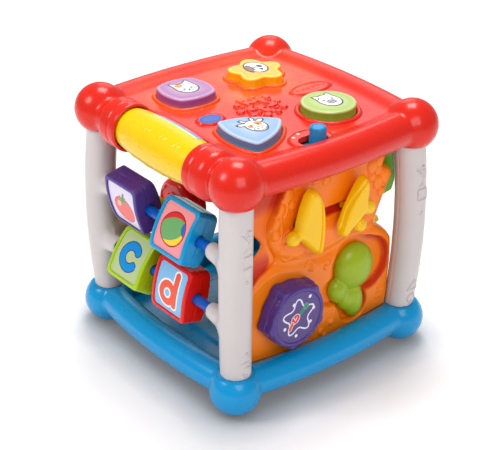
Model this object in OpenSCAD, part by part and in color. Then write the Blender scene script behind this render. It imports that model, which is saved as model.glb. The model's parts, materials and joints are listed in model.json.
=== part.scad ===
// Baby activity cube: a blue base, four bowed white columns and a red top with light-up buttons, a yellow
// roller, turning picture blocks, an orange music panel, a green gear panel and a rod of sliding beads.
// Millimetres, +Z up, origin on the ground at the centre. Front, with the blocks, is -Y; the music panel is +X.

/* [Frame] */
// Distance between the centres of neighbouring corner balls
corner_pitch = 132; // [131:0.5:133]
// Radius of the blue corner balls
base_ball_r = 15.5; // [15:0.1:16]
// Radius of the red corner balls
top_ball_r = 15.7; // [15.2:0.1:16]
// Height of the red corner balls' centres
top_ball_z = 147.3; // [146.8:0.1:148]
// Radius of the base rails
base_rail_r = 9.5; // [9:0.1:9.8]
// Height of the base rails' centre line
base_rail_z = 17.5; // [17:0.1:18]
// How far the base rails bow outward
base_rail_bow = 6; // [5:0.1:6.1]
// Radius of the top rails
top_rail_r = 10; // [9.6:0.1:10.2]
// How far the top rails bow outward
top_rail_bow = 5; // [4.5:0.1:5.3]
// Outer radius of the columns
column_r = 9.6; // [9.2:0.1:9.8]
// Wall thickness of the columns
column_wall = 2.4; // [2:0.1:2.6]
// How far the columns bow outward along the diagonal
column_bow = 4.5; // [4:0.1:5]

/* [Deck and buttons] */
// Height of the deck's upper face
deck_z = 154; // [153.5:0.1:154.5]
// Thickness of the deck
deck_t = 2.7; // [2.4:0.1:3]
// How far the buttons stand above the deck
button_rise = 6.4; // [5.5:0.1:7]
// Travel of the buttons
button_travel = 2; // [1.5:0.1:2]
// Gap between a button and its opening
button_gap = 0.5; // [0.4:0.05:0.7]
// Height of the raised lips on the deck
lip_h = 1.2; // [0.8:0.1:1.5]

/* [Roller] */
// Radius of the roller at its middle
roller_mid_r = 14.8; // [14.5:0.1:14.9]
// Radius of the roller at the cups' mouths
roller_end_r = 12.7; // [12.4:0.1:12.8]
// Position of the roller's axis behind or before the centre
roller_y = -66.5; // [-66.6:0.1:-66.2]
// Height of the roller's axis
roller_z = 146.5; // [146:0.1:147]
// Radius of the cups that hold the roller
cup_r = 15.1; // [14.9:0.1:15.1]

/* [Blocks and beads] */
// Width of a picture block along its axle
block_w = 32; // [30:0.5:33]
// Height of a picture block
block_h = 33; // [31:0.5:33.5]
// Thickness of a block at its upper and lower edges
block_t = 13.5; // [12:0.5:14]
// How much thicker each face is at its middle
block_bulge = 2.2; // [1.8:0.1:2.4]
// Distance of the block axles from the centre
axle_reach = 69; // [68.5:0.1:69.5]
// Height of the upper block axle
upper_axle_z = 101; // [100.5:0.1:101.5]
// Height of the lower block axle
lower_axle_z = 61.6; // [61.2:0.1:62]
// Radius of the block axles and the bead rod
axle_r = 3.2; // [3:0.1:3.4]
// Height of the bead rod
bead_rod_z = 66; // [64:0.5:68]
// Distance of the bead rod from the centre
bead_reach = 63; // [62.5:0.1:63.4]

/* [Panels] */
// Distance of the panels' raised front faces from the centre
panel_face = 62.5; // [62:0.1:62.6]
// Depth of the raised lobes above the panel's plate
lobe_rise = 4.5; // [4:0.1:5]
// Thickness of the panels' plates
plate_t = 2.6; // [2.2:0.1:3]
// Radius of the tambourine's drum
drum_r = 20; // [19.5:0.1:20.5]
// How far the tambourine stands out
drum_t = 12.5; // [11:0.5:13]
// Radius of the cymbals
cymbal_r = 20.5; // [19.5:0.1:21]
// Travel of each cymbal towards the other
cymbal_travel = 5; // [3:0.5:5]
// Swing of the maraca, in degrees
maraca_swing = 18; // [12:1:18]
// Module of the big play gears
gear_module = 4; // [4:1:4]

/* [Hidden] */
$fn = 64;
half = corner_pitch / 2;
base_ball_z = base_ball_r - 0.5;
joint_gap = 0.3;

// Heights inside the top
deck_under = deck_z - deck_t;
board_z = 143;
board_t = 1.6;
housing_floor = 138;
battery_floor = 121;

// The column's arc runs between the two balls of its corner
column_low = base_ball_z;
column_chord = top_ball_z - column_low;
column_inset = 1.5;
column_mid_z = (column_low + top_ball_z) / 2;
socket_r = 10.6;
plug_r = 6.4;

function bow_radius(chord, bow) = (chord * chord / 4 + bow * bow) / (2 * bow);
function bow_angle(chord, bow) = 2 * asin(chord / 2 / bow_radius(chord, bow));

// A round bar on an arc in the XY plane, chord along X, bowed towards +Y
module bowed_rail(r, chord, bow) {
    big = bow_radius(chord, bow);
    angle = bow_angle(chord, bow);
    translate([0, bow - big, 0])
        rotate([0, 0, 90 - angle / 2])
            rotate_extrude(angle = angle, $fn = 96)
                translate([big, 0]) circle(r);
}

// A round bar on an arc in the XZ plane, chord along Z, bowed towards +X
module bowed_post(r, chord, bow) {
    big = bow_radius(chord, bow);
    angle = bow_angle(chord, bow);
    translate([bow - big, 0, 0])
        rotate([90, 0, 0])
            rotate([0, 0, -angle / 2])
                rotate_extrude(angle = angle, $fn = 96)
                    translate([big, 0]) circle(r);
}

// A square with bowed sides, the plan of the base and the deck
module bowed_square(half_width, bow) {
    big = bow_radius(2 * half, bow);
    intersection_for (turn = [0:90:270])
        rotate(turn)
            translate([half_width + bow - big, 0]) circle(big, $fn = 180);
}

module at_corners() {
    for (turn = [0:90:270])
        rotate([0, 0, turn]) translate([half, half, 0]) children();
}

// A cylinder along X, from x0 to x1
module rod_x(r, x0, x1) {
    translate([x0, 0, 0]) rotate([0, 90, 0]) cylinder(r = r, h = x1 - x0);
}

module cone_x(r0, r1, x0, x1) {
    translate([x0, 0, 0]) rotate([0, 90, 0]) cylinder(r1 = r0, r2 = r1, h = x1 - x0);
}

// ---- Base ----
ledge_z = 19;
tray_z = 12;
tray_t = 2.5;
ledge_half = 61.5;
cover_z = 6.5;
cover_t = 2;

// A base rail's hollow, open along the bottom
module rail_hollow(r, chord, bow, slot) {
    big = bow_radius(chord, bow);
    angle = bow_angle(chord, bow);
    translate([0, bow - big, 0])
        rotate([0, 0, 90 - angle / 2])
            rotate_extrude(angle = angle, $fn = 96)
                translate([big, 0]) union() {
                    circle(r);
                    if (slot == "below") translate([-4, -14]) square([8, 14]);
                    else translate([-14, -4]) square([14, 7.5]);
                }
}

module base_frame() {
    color("deepskyblue")
    difference() {
        union() {
            difference() {
                union() {
                    for (turn = [0:90:270])
                        rotate([0, 0, turn])
                            translate([0, half, base_rail_z])
                                bowed_rail(base_rail_r, corner_pitch, base_rail_bow);
                    translate([0, 0, tray_z - tray_t])
                        linear_extrude(ledge_z - tray_z + tray_t) bowed_square(half, base_rail_bow);
                }
                translate([0, 0, tray_z]) linear_extrude(20) bowed_square(ledge_half - 2, 3.5);
                for (turn = [0:90:270])
                    rotate([0, 0, turn])
                        translate([0, half, base_rail_z])
                            rail_hollow(base_rail_r - 2.3, corner_pitch, base_rail_bow, "below");
            }
            at_corners() translate([0, 0, base_ball_z]) sphere(base_ball_r);
            translate([0, 0, tray_z - 0.1]) linear_extrude(1.9) bowed_square(41, 2.5);
        }
        translate([-100, -100, -10]) cube([200, 200, 10]);
        at_corners() {
            translate([0, 0, base_ball_z + 11]) cylinder(r = socket_r, h = 20);
            translate([0, 0, base_ball_z - 2]) cylinder(r = plug_r + 0.1, h = 30);
            translate([0, 0, -1]) cylinder(r = 2.7, h = 5);
            translate([0, 0, 3]) cylinder(r = 1.7, h = 14);
        }
        // The bottom cover's screws enter these holes
        for (x = [-36, 36], y = [-36, 36])
            translate([x, y, tray_z - tray_t - 1]) cylinder(r = 1.3, h = 4);
    }
}

module base_cover() {
    color("royalblue")
    difference() {
        union() {
            translate([0, 0, cover_z]) linear_extrude(cover_t) bowed_square(54.5, 3);
            for (x = [-36, 36], y = [-36, 36])
                translate([x, y, cover_z]) cylinder(r = 4, h = tray_z - tray_t - cover_z);
        }
        for (x = [-36, 36], y = [-36, 36]) {
            translate([x, y, cover_z - 1]) cylinder(r = 1.5, h = 10);
            translate([x, y, cover_z - 1]) cylinder(r = 2.9, h = 2.4);
        }
    }
}

// A pan-head screw, tip up, its head's underside at z = 0
module screw(shank_r, shank_h) {
    translate([0, 0, -1.5]) difference() {
        cylinder(r = shank_r + 1, h = 1.5);
        translate([-0.35, -1.4, -0.1]) cube([0.7, 2.8, 0.8]);
        translate([-1.4, -0.35, -0.1]) cube([2.8, 0.7, 0.8]);
    }
    cylinder(r = shank_r, h = shank_h);
}

module base_screws() {
    color("silver") {
        at_corners() translate([0, 0, 4]) screw(1.5, 17);
        for (x = [-36, 36], y = [-36, 36]) translate([x, y, cover_z + 1.4]) screw(1.3, 4);
    }
}

// ---- Columns ----
// The column's body as a bowed round bar; turn picks its corner
module column_bar(turn, r) {
    rotate([0, 0, turn + 45])
        translate([(half - column_inset) * sqrt(2), 0, column_mid_z])
            bowed_post(r, column_chord, column_bow);
}

column_foot = base_ball_z + 11.1;
column_head = top_ball_z - 6.7;

module column(turn) {
    difference() {
        intersection() {
            column_bar(turn, column_r);
            translate([-100, -100, column_foot]) cube([200, 200, column_head - column_foot]);
        }
        difference() {
            column_bar(turn, column_r - column_wall);
            for (z = [column_foot - 2, column_head - 4])
                rotate([0, 0, turn]) translate([half, half, z]) cylinder(r = 14, h = 6);
        }
    }
    // Spigots that enter the balls
    rotate([0, 0, turn]) translate([half, half, 0]) {
        difference() {
            translate([0, 0, base_ball_z - 1.7]) cylinder(r = plug_r, h = 14);
            translate([0, 0, base_ball_z - 3]) cylinder(r = 1.5, h = 10);
        }
        translate([0, 0, column_head - 1]) cylinder(r = plug_r, h = 9.5);
    }
}

// A gusseted boss that carries an axle's end, pointing towards the middle; it lies at +X, -Y
module boss(reach, tip, z) {
    translate([0, -reach, z]) {
        rod_x(4.5, tip, 63);
        translate([0, 0, -2.6]) cone_x(3.6, 6.2, tip + 0.6, 63);
    }
}

module boss_bore(reach, tip, z) {
    translate([0, -reach, z]) rod_x(axle_r + 0.05, tip - 1, 60);
}

block_boss_tip = 46.5;
bead_boss_tip = 53;

module column_front() {
    color("gainsboro")
    difference() {
        union() {
            column(270);
            difference() {
                for (z = [upper_axle_z, lower_axle_z]) boss(axle_reach, block_boss_tip, z);
                column_bar(270, column_r - 1);
            }
        }
        for (z = [upper_axle_z, lower_axle_z]) boss_bore(axle_reach, block_boss_tip, z);
    }
}

module column_right() {
    color("gainsboro") column(0);
}

module column_back() {
    color("gainsboro")
    difference() {
        union() {
            column(90);
            difference() {
                rotate([0, 0, -90]) mirror([1, 0, 0]) boss(bead_reach, bead_boss_tip, bead_rod_z);
                column_bar(90, column_r - 1);
            }
        }
        rotate([0, 0, -90]) mirror([1, 0, 0]) boss_bore(bead_reach, bead_boss_tip, bead_rod_z);
    }
}

module column_left() {
    color("gainsboro")
    difference() {
        union() {
            column(180);
            difference() {
                union() {
                    mirror([1, 0, 0])
                        for (z = [upper_axle_z, lower_axle_z]) boss(axle_reach, block_boss_tip, z);
                    rotate([0, 0, -90]) boss(bead_reach, bead_boss_tip, bead_rod_z);
                }
                column_bar(180, column_r - 1);
            }
        }
        mirror([1, 0, 0])
            for (z = [upper_axle_z, lower_axle_z]) boss_bore(axle_reach, block_boss_tip, z);
        rotate([0, 0, -90]) boss_bore(bead_reach, bead_boss_tip, bead_rod_z);
    }
}

// ---- Top cover ----
deck_front = -52.3;
cup_left = -29.5;
cup_right = 35.5;
cup_depth = 6.5;
square_at = [-34, -25.6];
star_at = [-32.6, 27.6];
triangle_at = [34.5, -30];
round_at = [32.8, 29];
round_r = 16.5;
speaker_at = [3.6, 0.7];
slider_at = [59, -2.3];
slider_travel = 6.4;
post_spots = [[-53.2, 2], [0, 52.5], [52.5, 12], [-6, -43.4]];

// Outline points of an n-sided shape with bulging sides and round corners, grown by g
function bulged_q(n, big, corner, bulge) =
    (pow((big - corner) * sin(180 / n), 2) + bulge * bulge) / (2 * bulge);
function bulged_turn(n, big, corner, bulge) =
    asin((big - corner) * sin(180 / n) / bulged_q(n, big, corner, bulge));
function bulged_side(n, big, corner, bulge, g, mid, t) =
    let (q = bulged_q(n, big, corner, bulge),
         back = q - bulge - (big - corner) * cos(180 / n),
         a = mid + t * bulged_turn(n, big, corner, bulge))
    [(q + corner + g) * cos(a) - back * cos(mid), (q + corner + g) * sin(a) - back * sin(mid)];
function bulged_corner(n, big, corner, bulge, g, at, t) =
    let (a = at + t * (180 / n - bulged_turn(n, big, corner, bulge)))
    [(big - corner) * cos(at) + (corner + g) * cos(a), (big - corner) * sin(at) + (corner + g) * sin(a)];
function bulged(n, big, corner, bulge, first, g) = [
    for (i = [0:n - 1]) each concat(
        [for (t = [-1:0.5:1]) bulged_corner(n, big, corner, bulge, g, first + i * 360 / n, t)],
        [for (t = [-0.75:0.25:0.75])
            bulged_side(n, big, corner, bulge, g, first + (i + 0.5) * 360 / n, t)])];

module square_shape(g) {
    translate(square_at) polygon(bulged(4, 17.8, 3.2, 2.4, 45, g));
}

module triangle_shape(g) {
    translate(triangle_at) polygon(bulged(3, 20.8, 3, 3, 90, g));
}

module star_shape(g) {
    translate(star_at)
        polygon([for (a = [0:7.5:352.5])
            let (r = 13 + g + 5 * pow((1 + cos(5 * (a - 90))) / 2, 0.8)) [r * cos(a), r * sin(a)]]);
}

module round_shape(g) {
    translate(round_at) circle(round_r + g);
}

module button_shapes(g) {
    square_shape(g);
    triangle_shape(g);
    star_shape(g);
    round_shape(g);
}

// A stadium, its round ends at y0 and y1
module stadium(r, y0, y1) {
    translate([0, y0]) circle(r);
    translate([0, y1]) circle(r);
    translate([-r, y0]) square([2 * r, y1 - y0]);
}

// A cup on the roller's axis, solid from its mouth to the corner ball, open towards +X
module cup_solid(mouth) {
    translate([0, roller_y, roller_z]) {
        rod_x(cup_r, -45, mouth);
        translate([-45, 0, 0]) rotate([0, -90, 0]) rotate_extrude() intersection() {
            union() {
                translate([cup_r - 5, 0]) circle(5);
                square([cup_r - 5, 5]);
            }
            square([20, 6]);
        }
        rod_x(11, -58, -46);
    }
}

module cup_hollow(mouth, floor) {
    translate([0, roller_y, roller_z]) {
        rod_x(cup_r - 1.8, floor, mouth + 1);
        rod_x(3.1, floor - 8, floor + 1);
    }
}

module top_cover() {
    color("red")
    difference() {
        union() {
            difference() {
                union() {
                    for (turn = [0:90:180])
                        rotate([0, 0, turn - 90])
                            translate([0, half, top_ball_z])
                                bowed_rail(top_rail_r, corner_pitch, top_rail_bow);
                    translate([0, 0, deck_under]) linear_extrude(deck_t) difference() {
                        bowed_square(half, top_rail_bow);
                        translate([cup_left, -100]) square([cup_right - cup_left, 100 + deck_front]);
                        translate([-100, -100]) square([200, 100 + roller_y]);
                    }
                }
                for (turn = [0:90:180])
                    rotate([0, 0, turn - 90])
                        translate([0, half, top_ball_z])
                            rail_hollow(top_rail_r - 2.2, corner_pitch, top_rail_bow, "inside");
            }
            at_corners() translate([0, 0, top_ball_z]) sphere(top_ball_r);
            cup_solid(cup_left);
            mirror([1, 0, 0]) cup_solid(-cup_right);
            // Trough behind the roller
            intersection() {
                translate([0, roller_y, roller_z]) rod_x(17.4, cup_left - 1, cup_right + 1);
                translate([-50, roller_y + 4, 120]) cube([100, 30, deck_z - 120]);
            }
            // Lips and raised ovals on the deck
            translate([0, 0, deck_under]) linear_extrude(deck_t + lip_h) {
                square_shape(2.4);
                triangle_shape(2.4);
                star_shape(2.4);
                round_shape(3.6);
            }
            translate([-0.9, -32.7, deck_under]) linear_extrude(deck_t + 1) stadium(8, -4.5, 4.5);
            translate([0.7, 43.6, deck_under]) linear_extrude(deck_t + 1.2) stadium(7.2, -6, 7);
            translate([57.5, -6, deck_under]) linear_extrude(deck_t + 1) stadium(10.2, -3.6, 3.6);
            translate([speaker_at[0], speaker_at[1], 147]) cylinder(r = 18, h = deck_z + 0.8 - 147);
            for (p = post_spots) translate([p[0], p[1], housing_floor]) cylinder(r = 3, h = 14);
        }
        translate([0, roller_y, roller_z]) rod_x(15.6, cup_left, cup_right);
        cup_hollow(cup_left, cup_left - cup_depth);
        mirror([1, 0, 0]) cup_hollow(-cup_right, -cup_right - cup_depth);
        translate([0, 0, 140]) linear_extrude(30) button_shapes(button_gap);
        translate([0, 0, 140]) linear_extrude(deck_under - 140) button_shapes(2.2);
        translate([slider_at[0], slider_at[1], 145]) linear_extrude(20) stadium(5.6, -slider_travel, 0);
        translate([-0.9, -32.7, deck_z + 0.3]) linear_extrude(3) stadium(6, -4, 4);
        // Speaker ring and grille
        translate([speaker_at[0], speaker_at[1], 140]) cylinder(r = 16.2, h = deck_under - 140);
        for (ring = [0:2], k = [0:max(0, ring * 6 - 1)])
            translate([speaker_at[0], speaker_at[1], 145])
                rotate([0, 0, ring > 0 ? k * 60 / ring : 0])
                    translate([ring * 4.6, 0, 0]) cylinder(r = 0.9, h = 20, $fn = 24);
        for (p = post_spots) translate([p[0], p[1], housing_floor - 1]) cylinder(r = 1.3, h = 12);
        at_corners() {
            translate([0, 0, top_ball_z - 20]) cylinder(r = socket_r + 0.4, h = 20 - 6.6);
            translate([0, 0, top_ball_z - 20]) cylinder(r = plug_r + 0.1, h = 22);
        }
    }
}

// ---- Electronics and their housing ----
module housing_plan(inset) {
    difference() {
        intersection() {
            bowed_square(55.5 - inset, 4);
            translate([-100, -48.8 + inset]) square([200, 200]);
        }
        for (x = [-half, half], y = [-half, half]) translate([x, y]) circle(16.2 + inset);
    }
}

module top_housing() {
    color("firebrick")
    difference() {
        union() {
            translate([0, 0, housing_floor - 2]) linear_extrude(deck_under - housing_floor + 2)
                housing_plan(0);
            translate([-30, 5, battery_floor]) cube([60, 40, housing_floor - battery_floor - 1]);
        }
        difference() {
            translate([0, 0, housing_floor]) linear_extrude(20) housing_plan(1.8);
            for (x = [-47, 47], y = [-38, 40])
                translate([x, y, housing_floor - 1]) cylinder(r = 2.5, h = board_z - housing_floor + 1);
        }
        translate([-28, 7, battery_floor - 1]) cube([56, 36, housing_floor - battery_floor - 1]);
        for (p = post_spots) translate([p[0], p[1], 130]) cylinder(r = 1.5, h = 10);
        translate([slider_at[0] + 1, slider_at[1] - 3, 145.5]) cube([16, 24, 14], center = true);
        for (x = [-29, 29]) translate([x, 25, battery_floor - 1]) cylinder(r = 0.8, h = 6);
    }
}

module battery_door() {
    color("firebrick")
    difference() {
        union() {
            translate([-31, 4, battery_floor - 1.8]) cube([62, 42, 1.8]);
            for (y = [10:6:40]) translate([-20, y, battery_floor - 2.4]) cube([40, 1.6, 0.8]);
        }
        for (x = [-29, 29]) translate([x, 25, battery_floor - 3]) cylinder(r = 1, h = 6);
    }
}

module housing_screws() {
    color("silver") {
        for (p = post_spots) translate([p[0], p[1], housing_floor - 2]) screw(1.3, 12);
        for (x = [-29, 29]) translate([x, 25, battery_floor - 1.8]) screw(0.8, 5.5);
    }
}

module batteries() {
    color("darkslategray")
    for (side = [-1, 1]) translate([0, 25 + side * 8.2, battery_floor + 7.6]) {
        rod_x(7.2, -24.5, 24.5);
        rod_x(2.6, side > 0 ? 24.5 : -26, side > 0 ? 26 : -24.5);
    }
}

module battery_contacts() {
    color("goldenrod")
    for (x = [-27.9, 26.1], side = [-1, 1])
        translate([x, 25 + side * 8.2 - 5.5, battery_floor + 2]) cube([1.8 - 0.05, 11, 12]);
}

module circuit_board() {
    color("seagreen")
    translate([0, 0, board_z]) linear_extrude(board_t) difference() {
        union() {
            translate([-50.5, -44]) square([101, 92]);
            translate([50, -18]) square([7, 24]);
        }
        translate(speaker_at) circle(18.6);
        for (p = post_spots) translate(p) circle(3.6);
        for (x = [-half, half], y = [-half, half]) translate([x, y]) circle(19);
    }
}

module light_emitters() {
    color("white")
    for (p = [square_at, star_at, triangle_at, round_at])
        translate([p[0], p[1], board_z + board_t]) {
            cylinder(r = 2.5, h = 3);
            translate([0, 0, 3]) sphere(2.5);
        }
}

module switch_domes() {
    color("silver")
    for (p = [square_at, star_at, triangle_at, round_at], side = [-7.5, 7.5])
        translate([p[0] + side, p[1], board_z + board_t]) cylinder(r = 3, h = 1.3);
}

module speaker() {
    color("dimgray")
    translate([speaker_at[0], speaker_at[1], 0]) {
        translate([0, 0, deck_under - 2.2]) cylinder(r = 16, h = 2.1);
        translate([0, 0, 144]) cylinder(r1 = 9, r2 = 15, h = 5.2);
        translate([0, 0, 141]) cylinder(r = 9, h = 4);
    }
}

// ---- Buttons ----
button_top = deck_z + button_rise;
flange_z = 148.3;

module button(which) {
    difference() {
        union() {
            translate([0, 0, flange_z]) linear_extrude(button_top - flange_z) button_shape(which, 0);
            translate([0, 0, flange_z]) linear_extrude(1.8) button_shape(which, 1.6);
        }
        translate([0, 0, flange_z - 1]) linear_extrude(button_top - 2 - flange_z + 1)
            button_shape(which, -2);
    }
    at = [square_at, star_at, triangle_at, round_at][which];
    for (side = [-7.5, 7.5])
        translate([at[0] + side, at[1], flange_z]) cylinder(r = 1.6, h = button_top - 1 - flange_z);
}

module button_shape(which, g) {
    if (which == 0) square_shape(g);
    if (which == 1) star_shape(g);
    if (which == 2) triangle_shape(g);
    if (which == 3) round_shape(g);
}

module square_button() {
    color("mediumorchid") button(0);
}

module star_button() {
    color("gold") button(1);
}

module triangle_button() {
    color("lightblue") button(2);
}

module round_button() {
    color("yellowgreen") button(3);
}

module mode_slider() {
    color("steelblue")
    translate([slider_at[0], slider_at[1], 0]) {
        translate([0, 0, 149]) cylinder(r = 5.1, h = 10);
        translate([0, 0, 159]) cylinder(r = 4.4, h = 2);
        translate([-6, -6.2, 149]) cube([11.5, 12.4, 1.6]);
        translate([-2, 0, 146.6]) cylinder(r = 3, h = 3);
    }
}

module slider_contact() {
    color("goldenrod")
    translate([slider_at[0] - 5, slider_at[1] - 2.5, 145.1]) cube([6, 5, 1.5]);
}

// ---- Roller ----
module roller() {
    middle = (cup_left + cup_right) / 2;
    reach = (cup_right - cup_left) / 2;
    drop = roller_mid_r - roller_end_r;
    big = (reach * reach + drop * drop) / (2 * drop);
    color("gold")
    translate([middle, roller_y, roller_z]) rotate([0, 90, 0])
        rotate_extrude($fn = 96) difference() {
            intersection() {
                translate([roller_mid_r - big, 0]) circle(big, $fn = 360);
                translate([3.15, -reach - 4]) square([20, 2 * reach + 8]);
            }
            translate([5.5, 2]) square([roller_end_r - 8, 50]);
            translate([5.5, -52]) square([roller_end_r - 8, 50]);
        }
}

module roller_axle() {
    color("silver")
    translate([0, roller_y, roller_z]) rod_x(3.05, cup_left - cup_depth - 7.8, cup_right + cup_depth + 7.8);
}

// ---- Picture blocks ----
// Side profile of a block: bulging faces, thickness along Y, height along X of the drawing
module block_profile(inset) {
    mid = block_t / 2 + block_bulge - inset;
    big = bow_radius(block_h, block_bulge);
    intersection() {
        for_both_faces(big - mid) circle(big - inset * 0, $fn = 240);
        square([block_h - 2 * inset, 40], center = true);
    }
}

module for_both_faces(back) {
    intersection() {
        translate([0, -back]) children();
        translate([0, back]) children();
    }
}

module block_half(side) {
    // The drawing's X becomes the block's height and its Y becomes depth
    difference() {
        intersection() {
            union() {
                difference() {
                    block_slab(block_w, 0);
                    block_slab(block_w - 4, 2);
                }
                rod_x(5.4, -block_w / 2, block_w / 2);
            }
            translate([0, side * 50, 0]) cube([100, 100 - 0.02, 100], center = true);
        }
        rod_x(axle_r + 0.1, -block_w, block_w);
    }
}

module block_slab(width, inset) {
    translate([-width / 2, 0, 0]) rotate([90, 0, 90]) linear_extrude(width)
        rotate(90) block_profile(inset);
}

// Places a block on its axle, tilted so that a positive angle turns its front face upward
module at_block(x, z, tilt) {
    translate([x, -axle_reach, z]) rotate([-tilt, 0, 0]) children();
}

module block_purple_front() {
    color("mediumpurple") at_block(-28.5, upper_axle_z, -12.5) block_half(-1);
}

module block_purple_back() {
    color("mediumpurple") at_block(-28.5, upper_axle_z, -12.5) block_half(1);
}

module block_blue_front() {
    color("dodgerblue") at_block(20.7, upper_axle_z, 27.8) block_half(-1);
}

module block_blue_back() {
    color("dodgerblue") at_block(20.7, upper_axle_z, 27.8) block_half(1);
}

module block_lime_front() {
    color("yellowgreen") at_block(-24.8, lower_axle_z, 33) block_half(-1);
}

module block_lime_back() {
    color("yellowgreen") at_block(-24.8, lower_axle_z, 33) block_half(1);
}

module block_red_front() {
    color("crimson") at_block(17.4, lower_axle_z, 13.7) block_half(-1);
}

module block_red_back() {
    color("crimson") at_block(17.4, lower_axle_z, 13.7) block_half(1);
}

module block_axle(z) {
    translate([0, -axle_reach, z]) rod_x(axle_r, -59.8, 59.8);
}

module upper_axle() {
    color("mediumblue") block_axle(upper_axle_z);
}

module lower_axle() {
    color("mediumblue") block_axle(lower_axle_z);
}

// ---- Bead rod on -X ----
module bead_rod() {
    color("silver") rotate([0, 0, -90]) translate([0, -bead_reach, bead_rod_z]) rod_x(axle_r, -59.8, 59.8);
}

// A disc bead with a round rim, from y0 to y0 + 16
module bead(r, y0) {
    translate([-bead_reach, y0, bead_rod_z]) rotate([-90, 0, 0])
        rotate_extrude() difference() {
            union() {
                square([r - 5, 16]);
                translate([r - 5, 5]) circle(5);
                translate([r - 5, 11]) circle(5);
                translate([r - 5, 5]) square([5, 6]);
            }
            translate([-20, -1]) square([20 + axle_r + 0.1, 20]);
        }
}

module bead_lime() {
    color("yellowgreen") bead(11, -40);
}

module bead_red() {
    color("red") bead(18, -16);
}

module bead_yellow() {
    color("gold") bead(17, 26);
}

// ---- Panels ----
// Their drawings are made in (Y, Z) and given depth along X
module panel_extrude(x0, depth) {
    translate([x0, 0, 0]) rotate([90, 0, 90]) linear_extrude(depth) children();
}

plate_x = panel_face - lobe_rise;
panel_bottom = 19.2;
panel_top = 135.6;

// Hourglass outlines of the two panels
panel_points = [
    [-59, panel_bottom], [59, panel_bottom], [60, 40], [60.5, 60], [60.3, 72], [56.5, 77.5], [50, 82], [45, 85],
    [45.6, 90], [48, 96], [51.5, 103.5], [54.3, 107.5], [55.6, 112], [56.2, 118], [54.8, 121.4], [50.5, 123],
    [48.6, 125], [48.4, panel_top], [-60, panel_top], [-60, 126], [-57.5, 119.5], [-53, 113],
    [-46, 105], [-42, 100.3], [-41, 97.4], [-43, 93.6], [-48.6, 89.4], [-54.4, 85.5], [-58.4, 79.5], [-60, 70],
    [-60, 40]];
gear_points = [
    [-59, panel_bottom], [59, panel_bottom], [60, 40], [60, 78], [57, 84], [52, 88], [48, 92], [46.5, 97],
    [48, 102], [53.5, 107.5], [57.2, 112], [59, 118], [60, 126], [60, panel_top], [-60, panel_top], [-60, 108],
    [-58, 101.5], [-53, 99.2], [-47.5, 97], [-43.5, 92], [-42, 84], [-42, 76], [-44, 70], [-50, 66.5],
    [-56, 63], [-59.5, 57], [-60, 40]];
left_notch = [[-70, 77], [-52.5, 77], [-46.5, 79], [-41.5, 84], [-38.5, 91], [-38, 98], [-41, 103], [-50, 110], [-70, 116]];

module panel_plan() {
    polygon(panel_points);
}

module gear_plan() {
    polygon(gear_points);
}

// Plan of the shells behind the panels, clear of the side notches
module back_plan(inset) {
    for (r = [[43.5, 25, 62], [32, 25, 129.8], [43.5, 106, 129.8]])
        translate([inset - r[0], r[1] + inset]) square([2 * (r[0] - inset), r[2] - r[1] - 2 * inset]);
}

// Clearance round the columns, rails and balls beside a panel
module column_clearance(r) {
    column_bar(0, r);
    column_bar(270, r);
}

module rail_clearance() {
    for (turn = [0, 180, 270])
        rotate([0, 0, turn]) translate([0, half, base_rail_z])
            bowed_rail(base_rail_r + joint_gap, corner_pitch, base_rail_bow);
    for (y = [-half, half]) {
        translate([half, y, base_ball_z]) sphere(base_ball_r + joint_gap);
        translate([half, y, top_ball_z]) sphere(top_ball_r + joint_gap);
    }
}

// Keeps a panel on its own side of the mitre between neighbouring panels
module mitre() {
    linear_extrude(200) polygon([[0, 0], [100, 99.8], [140, 0], [100, -99.8]]);
}

slot_z = 107;
slot_h = 5;
drum_at = [-26, 52.8];
maraca_pivot = [26.5, 34.5];
screw_spots = [[-38, 32], [38, 32], [-26, 122], [26, 122]];

module shaft_posts(spots) {
    for (p = spots)
        translate([plate_x - plate_t - 4, p[0], p[1]]) rotate([0, 90, 0]) cylinder(r = 3.2, h = 4.5);
}

module music_panel() {
    color("darkorange")
    difference() {
        intersection() {
            union() {
                panel_extrude(plate_x - plate_t, plate_t) {
                    panel_plan();
                    translate([-50, tray_z + 0.1]) square([100, 8]);
                }
                panel_extrude(plate_x - 0.1, lobe_rise + 0.1) difference() {
                    panel_plan();
                    polygon(left_notch);
                    // Recess in which the maraca swings
                    maraca_sweep();
                    // Track of the cymbals
                    translate([-30, slot_z - slot_h / 2 - 1.4]) square([62, slot_h + 2.8]);
                }
                shaft_posts(screw_spots);
            }
            mitre();
        }
        // Through slot of the cymbals' stems
        panel_extrude(40, 40) translate([-28, slot_z - slot_h / 2]) square([58, slot_h]);
        for (p = [drum_at, maraca_pivot])
            translate([0, p[0], p[1]]) rod_x(2.6, plate_x - 10, 80);
        for (p = screw_spots) translate([0, p[0], p[1]]) rod_x(1.2, plate_x - 8, plate_x - 1);
        column_clearance(column_r + 0.4);
        rail_clearance();
    }
}

// The recess in which the maraca swings
module maraca_sweep() {
    hull() {
        translate([28.4, 64.6]) circle(17.6);
        translate([39.6, 60]) circle(18);
    }
    hull() {
        translate([12, 49.9]) circle(9.4);
        translate([17, 53]) circle(9.4);
    }
    hull() {
        translate([22.5, 45]) circle(9.6);
        translate([27, 45]) circle(9.6);
        translate([28.6, 35]) circle(11.4);
    }
}

// The shell behind a panel, open towards it
module panel_back() {
    difference() {
        intersection() {
            panel_extrude(plate_x - plate_t - 6.4, 6.3) back_plan(0);
            mitre();
        }
        panel_extrude(plate_x - plate_t - 4.4, 6) back_plan(2);
        for (p = screw_spots) translate([0, p[0], p[1]]) rod_x(1.4, 40, 60);
        column_clearance(column_r + 0.6);
    }
}

module music_panel_back() {
    color("darkorange")
    panel_back();
}

// The gear panel uses the same drawings, turned to face +Y
module gear_side() {
    rotate([0, 0, 90]) children();
}

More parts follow.
